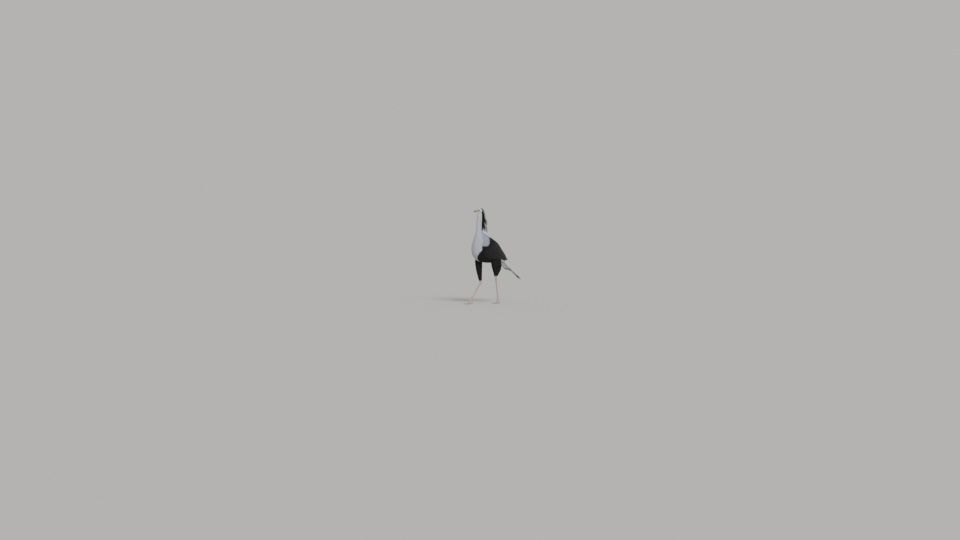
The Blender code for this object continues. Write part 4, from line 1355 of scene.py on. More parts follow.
def rootsOn(shell, island, sizeOf, gaps, heights, keep, first=0.0, loose=0.10):
    # staggered rows of roots down a shell; sizeOf gives a feather's length and half width there
    length = shell["length"]
    at = first * length[-1]
    rings, around = shell["place"].shape[:2]
    ringAt, turnAt, size = [], [], []
    while at < length[-1]:
        long, half = sizeOf(at / length[-1])
        ring = np.interp(at, length, np.arange(rings))
        girth = np.linalg.norm(np.diff(shell["place"][int(ring)], axis=0), axis=1).sum()
        count = max(6, int(girth / (2 * half * gaps[1])))
        k = np.arange(count) + 0.5 * (len(size) % 2) + random.uniform(-0.34, 0.34, count)
        ringAt.append(ring + random.uniform(-0.55, 0.55, count) * gaps[0] * long / length[-1] * rings)
        turnAt.append(k / count * around)
        size.append(np.tile((long, half), (count, 1)))
        at += gaps[0] * long
    ring = np.clip(np.concatenate(ringAt), 0, rings - 1.01)
    turn = np.mod(np.concatenate(turnAt), around)
    long, half = (np.concatenate(size) * random.uniform(0.88, 1.12, (len(ring), 1))).T
    place, out, lie = (readShell(shell, key, ring, turn) for key in ("place", "out", "lie"))
    out = unit(out)
    lie = tilt(unit(lie), out, random.normal(0, loose, len(ring)))
    own = random.uniform(0, 1, len(ring))
    low = heights[0] + 0.2 * (heights[1] - heights[0]) * own
    roots = rootsFrom(place, out, lie, half, long, own, 6, low, None, onIsland(shell, island, ring, turn))
    roots["high"] = heights[0] + (heights[1] - heights[0]) * random.uniform(0.88, 1.08, len(ring))
    roots.update({"ring": ring, "turn": turn})
    return pick(roots, keep(roots))


def shaded(roots, colours, variety):
    # the colour of each feather: its place's colour, a little lighter or darker for each
    lighter = 1 + variety * random.uniform(-1, 1, (len(colours), 1))
    roots["shade"] = opaque(np.clip(colours * lighter, 0, 1))
    for key in ("ring", "turn"):
        roots.pop(key, None)
    return roots


def pick(roots, chosen):
    return {key: values[chosen] for key, values in roots.items()}


# materials of the plumage

# real barbs are too fine to show: they are drawn about 1 mm wide on soft feathers and 4 mm on long ones
featherLook = {  # barbs to a feather's length, how far the shaft shows, and the painted shade at the root
    "soft": {"roughness": 0.85, "sheen": 0.06, "barbs": 22.0, "shaft": 0.06, "bump": 0.22, "rootPaintedShade": 0.93},
    "firm": {"roughness": 0.52, "sheen": 0.03, "barbs": 70.0, "shaft": 0.34, "bump": 0.50, "rootPaintedShade": 0.86},
}
tailLook = {  # distances from a tail feather's root, and how far its marks' edges fade
    "bands": ((0.245, 0.292), (0.385, 0.440)), "tip": 0.022, "soft": 0.003,
}


def bandTone(tree, made, shade):
    # tail feathers: grey with a black band, a second one on the long pair, and white ends
    made["long"] = addNode(tree, "ShaderNodeAttribute", output="Fac", attribute_name="long")
    addNodes(tree, made, (
        ("wobble", "ShaderNodeCombineXYZ", None, {0: "side", 1: "own"}),
        ("wobble", "ShaderNodeTexNoise", None, {"Vector": "wobble", "Scale": 6.0, "Detail": 2.0}),
        ("wobble", maths, "MULTIPLY_ADD", {0: "wobble", 1: 0.012, 2: -0.006}),
        ("at", maths, "MULTIPLY_ADD", {0: "along", 1: "long", 2: "wobble"}),
        ("end", maths, "SUBTRACT", {0: "long", 1: "at"}),
    ))
    at, soft, tip, black = made["at"], tailLook["soft"], tailLook["tip"], linear(plumage["black"])
    for low, high in tailLook["bands"]:
        rise = addNode(tree, "ShaderNodeMapRange", {0: at, 1: low - soft, 2: low + soft})
        share = addNode(tree, "ShaderNodeMapRange", {0: at, 1: high - soft, 2: high + soft, 3: rise, 4: 0.0})
        shade = addNode(tree, links={0: share, 6: shade, 7: black}, **mixColour)
    return painted(tree, shade, ((made["end"], tip + soft, tip - soft, 1.0, plumage["rumpWhite"]),))


def featherMaterial(name, look, banded=False):
    # keratin barbs zipped into a vane: matt and soft to the eye, with a slanting grain, a shaft, and painted
    # shade towards the root
    material, tree, shader = newMaterial(name, **{
        "Roughness": look["roughness"], "IOR": 1.54, "Specular IOR Level": 0.28,
        "Sheen Weight": look["sheen"], "Sheen Roughness": 0.45})
    vane = addNode(tree, "ShaderNodeAttribute", output="Vector", attribute_name="vane")
    made = dict(zip(("across", "along"), addNode(tree, "ShaderNodeSeparateXYZ", {0: vane}).node.outputs))
    made["own"] = addNode(tree, "ShaderNodeAttribute", output="Fac", attribute_name="own")
    addNodes(tree, made, (
        ("side", maths, "SUBTRACT", {0: "across", 1: 0.5}),
        ("side", maths, "ABSOLUTE", {0: "side"}),
        ("slant", maths, "MULTIPLY_ADD", {0: "side", 1: -0.30, 2: "along"}),
        ("grainX", maths, "MULTIPLY", {0: "slant", 1: look["barbs"]}),
        ("grainY", maths, "MULTIPLY", {0: "side", 1: 2.0}),
        ("grainZ", maths, "MULTIPLY", {0: "own", 1: 57.0}),
        ("grain", "ShaderNodeCombineXYZ", None, {0: "grainX", 1: "grainY", 2: "grainZ"}),
        ("barb", "ShaderNodeTexNoise", None, {"Vector": "grain", "Scale": 1.0, "Detail": 2.0}),
    ))
    colour = addNode(tree, "ShaderNodeAttribute", output="Color", attribute_name="shade")
    if banded:
        colour = bandTone(tree, made, colour)
    # painted shade: each feather is darker towards its root, where the feathers over it would shadow it
    paintedRootShade = addNode(tree, "ShaderNodeMapRange", {0: made["along"], 3: look["rootPaintedShade"], 4: 1.0})
    light = addNode(tree, "ShaderNodeMapRange", {0: made["barb"], 1: 0.25, 2: 0.75, 3: 0.92, 4: 1.06})
    light = addNode(tree, links={0: light, 1: paintedRootShade}, **product)
    grey = addNode(tree, "ShaderNodeCombineColor", {0: light, 1: light, 2: light})
    colour = addNode(tree, links={0: 1.0, 6: colour, 7: grey}, blend_type="MULTIPLY", **mixColour)
    shaft = addNode(tree, "ShaderNodeMapRange", {0: made["side"], 1: 0.030, 2: 0.018, 4: look["shaft"]})
    lighter = addNode(tree, links={0: 1.0, 6: colour, 7: (0.05, 0.05, 0.055, 1.0)}, blend_type="ADD",
                      **mixColour)
    colour = addNode(tree, links={0: shaft, 6: colour, 7: lighter}, **mixColour)
    height = addNode(tree, maths, {0: shaft, 1: 1.5, 2: made["barb"]}, operation="MULTIPLY_ADD")
    dress(tree, shader, colour, height, 0.0003, look["bump"])
    return material


# contour feathers: loose barbs, matt as felt; flight feathers: zipped tight, satin, with a plain shaft
softFeather = featherMaterial("looseContourFeather", featherLook["soft"])
firmFeather = featherMaterial("zippedFlightFeather", featherLook["firm"])
tailFeather = featherMaterial("bandedTailFeather", featherLook["firm"], True)


# where the folded wings show on the body's shell

def wingEdges(side):
    # on each ring of the body's shell: the turns between which a wing is the outermost
    wing, flesh = surfaceOf(f"wing_{side}"), surfaceOf("trunk", "neck")
    rings, around = outerBody["place"].shape[:2]
    found = []
    for i in range(rings):
        seen = []
        for j in range(around // 2 + 1):
            turn = j if side == "left" else (around - j) % around
            d = Vector(outerBody["rays"][i, turn])
            start = Vector(outerBody["line"][i]) + d * 0.24
            onWing, onFlesh = wing.ray_cast(start, -d, 0.24)[3], flesh.ray_cast(start, -d, 0.24)[3]
            if onWing is not None and (onFlesh is None or onWing < onFlesh):
                seen.append(j)
        if seen:
            found.append((i, seen[0], seen[-1]))
    found = np.array(found, float)
    found[:, 1:] = blur(found[:, 1:], 2.0, 0, False)
    return found


wings = {side: wingEdges(side) for side in sides}


def edgesAt(edges, ring):
    # a wing's upper and lower edge on some rings
    return [np.interp(ring, edges[:, 0], edges[:, k]) for k in (1, 2)]


def onWing(roots, side, rings=0.0, turns=0.0):
    # which roots lie on a wing, at least so many cells inside its edges
    edges, around = wings[side], bodyShell["place"].shape[1]
    ring, turn = roots["ring"], roots["turn"] if side == "left" else around - roots["turn"]
    top, low = edgesAt(edges, ring)
    inRings = (ring > edges[0, 0] + rings) & (ring < edges[-1, 0] + 1)
    return inRings & (turn > top + turns) & (turn < low - turns)


# the coat of head, neck, trunk and thighs

coat = {  # shares of the way down a shell, and the feathers' lengths there or half widths by length
    "bodyLong": ((0, 0.06, 0.28, 0.42, 0.60, 0.9), (0.0150, 0.0160, 0.0200, 0.0270, 0.0330, 0.0310)),
    "bodyHalf": ((0, 0.3, 0.5, 0.8), (0.150, 0.160, 0.180, 0.185)),
    "thighLong": ((0, 0.3, 0.75, 1), (0.036, 0.032, 0.024, 0.013)),
    "headEnd": 15.0,  # the ring of the body's shell down to which the head's own feathers reach
    # feathers of head and throat: distance from the bill's root, length there, gap as a share of the length
    "headLong": ((0.0, 0.03, 0.06, 0.09, 0.13), (0.0030, 0.0044, 0.0076, 0.0120, 0.0165)), "headGap": 0.25,
    "headHalf": 0.20, "longVane": 0.0085,
}


def bodySize(share):
    long = np.interp(share, *coat["bodyLong"])
    return long, long * np.interp(share, *coat["bodyHalf"])


def thighSize(share):
    long = np.interp(share, *coat["thighLong"])
    return long, long * 0.15


def lesserSize(share):
    return 0.024, 0.0052


link(headGround)
normals = normalsOf(headGround)
setValues(headGround, "out", normals)
groundBody = groundOf("groundBody", bodyShell)


def clearOfWings(roots):
    hidden = onWing(roots, "left", 1.5, 1.5) | onWing(roots, "right", 1.5, 1.5)
    rel = roots["place"] - tailRoot
    underTail = (rel @ tailUp < 0) & (rel @ tailWay > 0.030)
    onBody = (roots["place"][:, 1] < trunkHigh.y - 0.020) & (roots["ring"] > coat["headEnd"] - 0.6)
    return onBody & ~hidden & ~underTail


roots = rootsOn(bodyShell, "body", bodySize, gaps=(0.21, 0.50), keep=clearOfWings, heights=(0.0012, 0.0044))
height = roots["place"][:, 2]
onNeck = ease(height, 0.84, 0.98)
roots["low"] = roots["low"] * (1 - 0.50 * onNeck)
roots["high"] = roots["high"] * (1 - 0.48 * onNeck)
shaded(roots, bodyTone(roots["place"]), 0.035)
for name, low, high, inputs in (
        ("neckPlumage", 0.93, 9, {"Cup": 0.04, "Thickness": 0.0003, "Ragged": 0.15}),
        ("breastPlumage", 0.70, 0.93, {"Cup": 0.05}), ("bellyPlumage", 0, 0.70, {"Cup": 0.05})):
    chosen = pick(roots, (height > low) & (height <= high))
    layFeathers(name, chosen, groundBody, "body", softFeather, **inputs)


def spread(places, gaps):
    # places in a random order, each of which keeps the others at its own gap
    tree = KDTree(len(places))
    for i, place in enumerate(places):
        tree.insert(place, i)
    tree.balance()
    free, kept = np.ones(len(places), bool), []
    for i in random.permutation(len(places)):
        if free[i]:
            kept.append(i)
            free[[j for near, j, away in tree.find_range(places[i], gaps[i])]] = False
    return np.array(kept)


# the feathers of head and throat start on their ground's points and faces: small at the bill, longer away
polygons = headGround.data.polygons
places = np.concatenate([pointsOf(headGround), valuesOf(polygons, "center")])
places += random.normal(0, 0.00015, places.shape)
outs = np.concatenate([normals, valuesOf(polygons, "normal")])
billRoot = np.array(inHead((0, -0.040, 0)))
long = np.interp(np.linalg.norm(places - billRoot, axis=1), *coat["headLong"])
stubEnd = bodyShell["line"][int(coat["headEnd"])][2]
local = inHeadFrame(places)
edge = np.array([noise.noise(Vector(p) * 420) for p in places])  # the bare skin's edge wavers over 2 mm
behindCere = (local[:, 1] > face["cereFrom"] + 0.0025) | (local[:, 2] < -0.035)
feathered = (bareFace(places) < 0.45 + 0.5 * edge) & behindCere & (places[:, 2] > stubEnd - 0.004)
index = np.flatnonzero(feathered)
index = index[spread(places[index], coat["headGap"] * long[index])]
places, outs, local, long = (values[index] for values in (places, outs, local, long))
# they run back from the bill's root, and turn down behind the face and under the head
behindFace = ease(local[:, 1], 0.008, 0.032)
underHead = ease(-local[:, 2], 0.008, 0.024) * ease(local[:, 1], -0.034, -0.012)
downward = 0.95 * np.maximum(behindFace, underHead)
lie = mixTone(unit(places - billRoot), np.array((0, 0.08, -1.0)), downward)
lie = unit(lie - outs * (lie * outs).sum(1, keepdims=True))
long = long * random.uniform(0.88, 1.12, len(long))
own = random.uniform(0, 1, len(long))
away = np.linalg.norm(local, axis=1)
x, y, wide, high = islands["head"]
around = np.mod(np.arctan2(local[:, 0], local[:, 2]) / math.tau, 1)
down = 0.5 * (np.arccos(-local[:, 1] / away) / math.pi + np.clip((away - 0.03) / 0.08, 0, 1))
lie = tilt(lie, outs, random.normal(0, 0.10, len(long)))
rootMap = np.stack([x + wide * around, y + high * down, np.zeros(len(long))], 1)
roots = rootsFrom(places, outs, lie, long * coat["headHalf"], long, own, 3, 0.00015 + 0.02 * long,
                  (0.10 + 0.04 * own) * long + 0.0002, rootMap)
crown = 0.25 * ease(places[:, 2], stubEnd, stubEnd + 0.05)
shaded(roots, mixTone(tone["neckGrey"], tone["rumpWhite"], crown), 0.035)
small = long < coat["longVane"]
layFeathers("headPlumage", pick(roots, small), headGround, "hair", softFeather, Cup=0.08, Thickness=0.0002)
layFeathers("throatPlumage", pick(roots, ~small), headGround, "body", softFeather, Cup=0.04,
            Thickness=0.0003, Ragged=0.15)

for side, leg in legs.items():
    ground = groundOf("groundThigh", leg["thigh"])
    stop = leg["ankle"][2] + 0.012

    def aboveAnkle(roots):
        return roots["place"][:, 2] + roots["lie"][:, 2] * roots["span"][:, 1] > stop

    roots = rootsOn(leg["thigh"], side, thighSize, gaps=(0.17, 0.50), first=0.03, heights=(0.0006, 0.0048),
                    keep=aboveAnkle, loose=0.16)
    roots["high"] *= np.interp(roots["place"][:, 2] - stop, (0, 0.08), (0.35, 1))
    shaded(roots, np.tile(tone["black"], (len(roots["own"]), 1)), 0.25)
    layFeathers(f"thighPlumage_{side}", roots, ground, "thigh", softFeather, Cup=0.06, Thickness=0.0003)
    drop(ground)


# wings: rows of coverts over rows of flight feathers, laid on the shell where the wings show

wingLong = 0.50  # from a wing's front to its tip
flightRows = ("primary", "secondary", "tertial")
wingRows = (
    # row, feathers, roots from front to tip and top to low edge, tips the same way, half width, low, high
    ("primary", 10, (0.50, 0.56), (0.30, 0.92), (1.07, 0.92), (0.12, 0.84), 0.0130, 0.0004, 0.0026),
    ("secondary", 16, (0.40, 0.46), (0.12, 0.97), (0.96, 0.70), (0.10, 1.00), 0.0125, 0.0026, 0.0038),
    ("primaryCovert", 8, (0.36, 0.44), (0.66, 0.98), (0.56, 0.60), (0.66, 0.99), 0.0105, 0.0036, 0.0044),
    ("tertial", 6, (0.34, 0.42), (0.02, 0.24), (0.97, 0.80), (0.03, 0.26), 0.0165, 0.0044, 0.0052),
    ("greaterCovert", 20, (0.29, 0.32), (0.04, 0.97), (0.52, 0.50), (0.06, 0.98), 0.0095, 0.0040, 0.0054),
    ("medianCovert", 24, (0.21, 0.24), (0.04, 0.96), (0.37, 0.36), (0.05, 0.97), 0.0082, 0.0044, 0.0060),
    ("upperLesser", 26, (0.155, 0.175), (0.03, 0.97), (0.275, 0.285), (0.04, 0.98), 0.0074, 0.0044, 0.0060),
    ("scapular", 16, (0.04, 0.50), (-0.04, 0.02), (0.24, 0.70), (0.02, 0.06), 0.0100, 0.0052, 0.0070),
    ("outerScapular", 14, (0.08, 0.46), (0.06, 0.10), (0.26, 0.66), (0.10, 0.14), 0.0095, 0.0050, 0.0068),
)


def wingPlace(edges, side, w, v):
    # rings and turns of places on a wing: w from front to tip, v from its top to its low edge
    ring = edges[0, 0] + w * (edges[-1, 0] - edges[0, 0])
    top, low = edgesAt(edges, ring)
    turn = top + v * (low - top)
    return ring, turn if side == "left" else -turn


def wingRoots(edges, side, row):
    name, count, *spans, half, low, high = row
    k = np.linspace(0, 1, count)
    jitter = random.uniform(-1, 1, (4, count)) * np.array([[0.006], [0.010], [0.014], [0.010]])
    spans = [first + (last - first) * k for first, last in spans]
    rootW, rootV, tipW, tipV = (place + slip for place, slip in zip(spans, jitter))
    ring, turn = wingPlace(edges, side, rootW, rootV)
    start = readShell(bodyShell, "place", ring, turn)
    end = readShell(bodyShell, "place", *wingPlace(edges, side, tipW, tipV))
    past = np.maximum(spans[2] - 1, 0)  # share of the wing that the tips reach past it
    end = end + unit(end - start) * past[:, None] * wingLong
    half = half * random.uniform(0.94, 1.06, count)
    shingle = 0.0007 * (1 - k)
    own = random.uniform(0, 1, count)
    x, y, z = ((start + end) / 2).T
    colour = mixTone(tone["black"], tone["shoulderGrey"], np.round(isGrey(x, y + 0.02 * (own - 0.5), z)))
    roots = rootsFrom(start, unit(readShell(bodyShell, "out", ring, turn)), unit(end - start), half,
                      np.linalg.norm(end - start, axis=1), own, 2 if name in flightRows else 4,
                      low + shingle, high + shingle, onIsland(bodyShell, "body", ring, turn))
    return shaded(roots, colour, 0.08)


def blacken(obj, own):
    # what the feathers' materials read on pieces that no tree has laid
    setValues(obj, "shade", opaque(np.tile(tone["black"], (len(own), 1))))
    setValues(obj, "own", own)


def joined(rows):
    return {key: np.concatenate([row[key] for row in rows]) for key in rows[0]}


# the folded flight feathers' inner bundle, from over the rump to the wings' tips
bundleFrom = int(np.argmax(bodyShell["line"][:, 1] > 0.0))
bundleTo = int(min(edges[-1, 0] for edges in wings.values())) - 6
thinner = 0.0009 + 0.006 * ease(np.arange(len(bodyShell["line"])), bundleTo - 30, bundleTo)
bundle = closedShell("wingBundle", thinned(inset(bodyShell, thinner), 1, 2), bundleFrom, bundleTo)
blacken(bundle, np.zeros(len(bundle.data.vertices)))
finishPiece(bundle, softFeather)

for side, edges in wings.items():
    flightRoots, covertRoots = [], []
    for row in wingRows:
        (flightRoots if row[0] in flightRows else covertRoots).append(wingRoots(edges, side, row))
    flight = layFeathers(f"flightFeathers_{side}", joined(flightRoots), groundBody, "flight", firmFeather,
                         Cup=0.10, Ragged=0.0)
    layFeathers(f"wingCoverts_{side}", joined(covertRoots), groundBody, "covert", firmFeather, Cup=0.08,
                Ragged=0.04)
    frontEnd = edges[0, 0] + 0.235 * (edges[-1, 0] - edges[0, 0])

    def onFront(roots):
        return onWing(roots, side, -0.4, 0.2) & (roots["ring"] < frontEnd)

    roots = rootsOn(bodyShell, "body", lesserSize, gaps=(0.22, 0.55), first=0.25, keep=onFront,
                    heights=(0.0042, 0.0082))
    front = ease(roots["ring"] - edges[0, 0], 0.0, 5.0)
    roots["low"], roots["high"] = (roots[key] * (0.55 + 0.45 * front) for key in ("low", "high"))
    x, y, z = (roots["place"] + roots["lie"] * 0.012).T
    colour = mixTone(tone["black"], tone["shoulderGrey"], isGrey(x, y + 0.012 * (roots["own"] - 0.5), z))
    shaded(roots, colour, 0.05)
    layFeathers(f"lesserCoverts_{side}", roots, groundBody, "body", softFeather, Cup=0.05)
    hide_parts(f"wing_{side}")


# tail: a fan of banded feathers and a long middle pair, coverts above and below at its root

tail = {
    "pairs": 5, "root": 0.045, "length": 0.350, "shorter": 0.014, "half": 0.0195, "fan": 3.4,
    "streamer": 0.530, "streamerHalf": 0.0165, "layer": 0.0007,
    "sheet": 0.58, "rows": 44, "columns": 15,  # the sheets' length, and how they are divided
}
tailStations = np.array((  # distance down the tail, half its width and thickness, how far its sides droop
    (0.00, 0.024, 0.0180, 0.004), (0.06, 0.040, 0.0240, 0.012), (0.12, 0.047, 0.0200, 0.017),
    (0.19, 0.050, 0.0100, 0.018), (0.26, 0.055, 0.0045, 0.018), (0.35, 0.058, 0.0020, 0.018),
    (0.60, 0.060, 0.0020, 0.018),
))


def tailSheet(name, lift):
    # a smooth sheet through the tail's middle or over one of its faces, drooping to its sides
    rows, columns = tail["rows"], tail["columns"]
    grid = np.empty((rows, columns, 3))
    for i in range(rows):
        d = tail["sheet"] * i / (rows - 1)
        half, thick, droop = (np.interp(d, tailStations[:, 0], tailStations[:, k]) for k in (1, 2, 3))
        for j in range(columns):
            g = (j / (columns - 1) * 2 - 1) * 1.25
            bow = (1 - min(g * g, 1)) ** 0.5
            rise = lift * max(thick * bow - 0.002, 0) - droop * min(g * g, 1.3)
            grid[i, j] = tailRoot + tailWay * d + np.array((g * half, 0, 0)) + tailUp * rise
    obj = objectFrom(name, grid.reshape(-1, 3), shellFaces(rows, columns, False))
    outs = unit(np.cross(np.gradient(grid, axis=1), np.gradient(grid, axis=0)))
    outs *= np.sign((outs * tailUp).sum(-1, keepdims=True)) * (1 if lift >= 0 else -1)
    setValues(obj, "out", outs.reshape(-1, 3))
    link(obj)
    return obj


def tailRoots(across, down, fan, long, half, low, colour, reach=0.0):
    # roots beside each other on the tail; across and fan go to both sides, reach is what the tips rise by
    count = len(across)
    down, long, half, low = (np.zeros(count) + value for value in (down, long, half, low))
    start = tailRoot + tailWay * down[:, None] + np.outer(across, (1, 0, 0))
    lie = unit(tailWay + np.outer(np.sin(np.radians(fan)), (1, 0, 0)))
    own = random.uniform(0, 1, count)
    rootMap = np.stack([(np.arange(count) + 0.5) / count, np.full(count, 0.5), np.zeros(count)], 1)
    roots = rootsFrom(start, np.tile(tailUp, (count, 1)), lie, half, long, own, 2, low, low + reach, rootMap)
    roots["long"] = long
    return shaded(roots, np.tile(colour, (count, 1)), 0.05)


middleSheet = tailSheet("tailMiddle", 0)
pair = np.repeat(np.arange(tail["pairs"]), 2)
which = np.tile((-1, 1), tail["pairs"])
rectrices = tailRoots(which * (0.004 + 0.0065 * pair), tail["root"], which * (1.0 + tail["fan"] * pair / 2),
                      tail["length"] - tail["root"] - tail["shorter"] * pair, tail["half"],
                      -tail["layer"] * (1.0 + pair), tone["tailGrey"])
streamers = tailRoots(np.array((-0.0085, 0.0085)), tail["root"], np.array((-0.8, 0.8)),
                      tail["streamer"] - tail["root"], tail["streamerHalf"], np.array((0.0004, 0.0012)),
                      tone["tailGrey"])
fan = layFeathers("tailFeathers", joined([rectrices, streamers]), middleSheet, "flight", tailFeather,
                  Cup=0.06, Ragged=0.0, **{"Patch wide": 0.07, "Patch long": 0.9})
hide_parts("tail", "tail_streamer_left", "tail_streamer_right")
coverts = {
    "rows": 10, "perRow": 9, "long": 0.055, "half": 0.0125, "low": 0.0014, "reach": 0.0042,
    "over": (0.040, 0.165), "under": (-0.015, 0.19),  # where they start and end down the tail
}


def tailCoverts(name, lift, first, end):
    # rows of coverts down one face of the tail
    sheet = tailSheet(name + "Sheet", lift)
    rows = []
    for k, d in enumerate(np.linspace(first, end, coverts["rows"])):
        half = np.interp(d, tailStations[:, 0], tailStations[:, 1])
        count = coverts["perRow"] + k % 2
        across = np.linspace(-1, 1, count) + random.uniform(-0.05, 0.05, count)
        own = random.uniform(0, 1, count)
        row = tailRoots(across * half * (0.90 + 0.10 * lift), d + 0.008 * own, 6 * across,
                        coverts["long"] * (1 - 0.15 * abs(d) / end), coverts["half"], coverts["low"],
                        tone["rumpWhite"], coverts["reach"] * (0.7 + 0.5 * own))
        row["out"] = row["out"] * lift
        row["kind"] = random.integers(0, 6, count).astype(np.int32)
        x, y, wide, high = islands["tail"]
        row["rootMap"] = np.stack([x + wide * (0.25 * (1 - lift) + 0.22 * (across + 1)), np.full(
            count, y + high * (0.10 + 0.85 * d / end)), np.zeros(count)], 1)
        rows.append(row)
    layFeathers(name, joined(rows), sheet, "body", softFeather, Cup=0.06)
    drop(sheet)


tailCoverts("overTailCoverts", 1, *coverts["over"])
tailCoverts("underTailCoverts", -1, *coverts["under"])


# crest: long loose black plumes that leave the nape backwards, arch over and hang

crest = {
    "layers": (  # plumes, length, lift and hang in degrees, root's place behind and above the head's middle
        (3, 0.262, 52, 80, 0.025, 0.024), (4, 0.345, 20, 86.5, 0.030, 0.012),
        (3, 0.300, -12, 91.5, 0.035, 0.000),
        # shorter and closer plumes that fill the crest between the long ones and the neck
        (4, 0.215, 36, 84, 0.027, 0.018), (3, 0.180, 5, 89, 0.033, 0.006), (4, 0.150, 26, 82, 0.026, 0.020),
        (3, 0.250, -28, 94, 0.034, -0.003), (4, 0.105, 44, 76, 0.022, 0.026),
        (3, 0.070, 48, 66, 0.018, 0.028), (4, 0.290, -30, 97, 0.035, -0.004),
        (3, 0.225, -26, 96, 0.034, 0.001)),
    "spacing": 0.0088, "shorter": 0.06, "lower": 5, "fan": 22, "roll": 24, "half": 0.0112, "thick": 0.0006,
    "droop": 12, "steps": 34, "columns": (-1, -0.55, 0, 0.55, 1),
}


def plumePath(length, lift, hang, fan):
    # middle line of a plume from its root, in the head's frame
    points = [np.zeros(3)]
    steps = crest["steps"]
    for i in range(steps):
        share = (i + 0.5) / steps
        fall = lift - (lift + hang) * (1 - (1 - share) ** crest["droop"])
        spread = fan * math.exp(-1.5 * share)
        way = (math.sin(spread) * math.cos(fall), math.cos(spread) * math.cos(fall), math.sin(fall))
        points.append(points[-1] + np.array(way) * length / steps)
    return np.array(points)


def addPlume(path, roll, half, verts, faces, values, rims, place):
    # a closed thin blade along a path, a little cupped, with a loose wavy edge
    way = unit(np.gradient(path, axis=0))
    level = unit(np.array([1.0, 0, 0]) - way * way[:, :1])
    over = np.cross(level, way)
    side = level * math.cos(roll) - over * math.sin(roll)
    out = over * math.cos(roll) + level * math.sin(roll)
    columns, start = crest["columns"], len(verts)
    last = len(path) - 1
    phase = random.uniform(0, 9, 2)
    for layer in (1, -1):
        for i, p in enumerate(path):
            share = i / last
            wide = half * (0.26 + 0.74 * share ** 1.5) * math.sqrt(max(1 - share ** 9, 0.006))
            for c in columns:
                edge = 1 + 0.12 * abs(c) * math.sin(share * 31 + phase[0 if c < 0 else 1]) * share
                thick = crest["thick"] * (1 - 0.85 * abs(c)) * (1 - 0.5 * share)
                cup = 0.10 * wide * (1 - c * c) + layer * thick
                verts.append(inHead(p + side[i] * wide * c * edge + out[i] * cup))
                values.append((c * 0.5 + 0.5, share, place))
    size, width = (last + 1) * len(columns), len(columns)
    for i in range(last):
        faces += stripFaces(start + i * width, width, size)
        for a, turned in ((start + i * width, False), (start + i * width + width - 1, True)):
            ring = (a, a + size, a + size + width, a + width)
            faces.append(ring[::-1] if turned else ring)
            rims += [frozenset((a, a + width)), frozenset((a + size, a + size + width))]
    for i, turned in ((0, False), (last, True)):
        ring = [start + i * width + j for j in range(width)]
        ring += [start + size + i * width + j for j in range(width - 1, -1, -1)]
        faces.append(tuple(ring[::-1] if turned else ring))


verts, faces, values, rims = lists = [], [], [], []
total = sum(layer[0] for layer in crest["layers"])
number = 0
for count, length, lift, hang, rootY, rootZ in crest["layers"]:
    half = crest["half"] * (0.62 + 0.38 * min(length / 0.26, 1))
    for k in range(count):
        off = k - (count - 1) / 2
        long = length * (1 - crest["shorter"] * abs(off))
        angles = (lift - crest["lower"] * abs(off), hang)
        path = plumePath(long, *map(math.radians, angles), math.radians(crest["fan"]) * off)
        path += np.array((off * crest["spacing"], rootY, rootZ))
        addPlume(path, math.radians(crest["roll"]) * off, half, *lists, number)
        number += 1
plumes = outward(objectFrom("crestPlumes", verts, faces))
sharpen(plumes, set(rims))
vane = plumes.data.attributes.new("vane", "FLOAT2", "CORNER")
bake = plumes.data.uv_layers.new(name="OFBake")
for loop in plumes.data.loops:
    across, along, place = values[loop.vertex_index]
    vane.data[loop.index].vector = (across, along)
    bake.data[loop.index].uv = ((place + 0.5 + 0.8 * (across - 0.5)) / total, 0.02 + 0.96 * along)
blacken(plumes, np.array(values)[:, 2] / total)
finishPiece(plumes, firmFeather)
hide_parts(*[name for name in nodes if name.startswith("crest_plume")])
print("crest", number, "plumes,", len(faces), "faces")


drop(groundBody, headGround, middleSheet)
for group in templates.values():
    drop(*group.objects)
    bpy.data.collections.remove(group)


# floor, light and camera

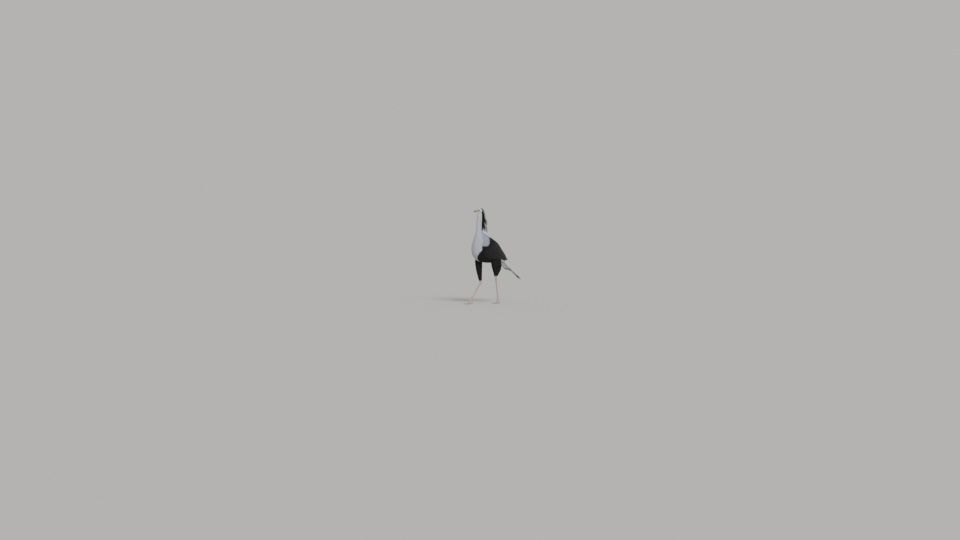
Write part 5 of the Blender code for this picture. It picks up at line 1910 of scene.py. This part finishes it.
studio = {
    "floor": 1600.0, "floorTone": "#c1c0be", "skyTone": "#eae9e6", "sky": 0.78,
    "sun": 2.6, "sunAngle": 22, "sunTurn": (48, 0, 78),  # a broad soft light; angles in degrees
}
view = {"turn": 52, "height": 4, "lens": 171, "distance": 60, "leftward": 0.190, "upward": 0.436}

reach = studio["floor"]
corners = [(x * reach, y * reach, 0) for x, y in ((-1, -1), (1, -1), (1, 1), (-1, 1))]
floor = objectFrom("floor", corners, [(0, 1, 2, 3)])
link(floor)
# studio paper: dull and even to the eye, a shade darker in broad faint patches
paper, tree, shader = newMaterial("matteStudioPaper", **{"Roughness": 0.95, "Specular IOR Level": 0.2})
patches = addNode(tree, "ShaderNodeTexNoise", {"Scale": 3.0, "Detail": 3.0})
base = linear(studio["floorTone"])
paperTone = addNode(tree, links={0: patches, 6: base, 7: [c * 0.97 for c in base[:3]] + [1.0]}, **mixColour)
tree.links.new(paperTone, shader.inputs["Base Color"])
floor.data.materials.append(paper)

world = bpy.data.worlds.new("studio")
bpy.context.scene.world = world
world.use_nodes = True
sky = world.node_tree.nodes["Background"]
sky.inputs["Color"].default_value = linear(studio["skyTone"])
sky.inputs["Strength"].default_value = studio["sky"]

sun = bpy.data.objects.new("softSun", bpy.data.lights.new("softSun", "SUN"))
sun.data.energy = studio["sun"]
sun.data.angle = math.radians(studio["sunAngle"])
sun.rotation_euler = [math.radians(angle) for angle in studio["sunTurn"]]
link(sun)

turn, height = math.radians(view["turn"]), math.radians(view["height"])
right = Vector((math.cos(turn), math.sin(turn), 0))
ahead = Vector((-math.sin(turn) * math.cos(height), math.cos(turn) * math.cos(height), -math.sin(height)))
up = right.cross(ahead)
camera = bpy.data.objects.new("camera", bpy.data.cameras.new("camera"))
camera.data.lens = view["lens"]
camera.data.clip_end = 4 * reach
aim = up * view["upward"] - right * view["leftward"]
camera.location = aim - ahead * view["distance"]
camera.rotation_mode = "QUATERNION"
camera.rotation_quaternion = ahead.to_track_quat("-Z", "Y")
link(camera)
bpy.context.scene.camera = camera
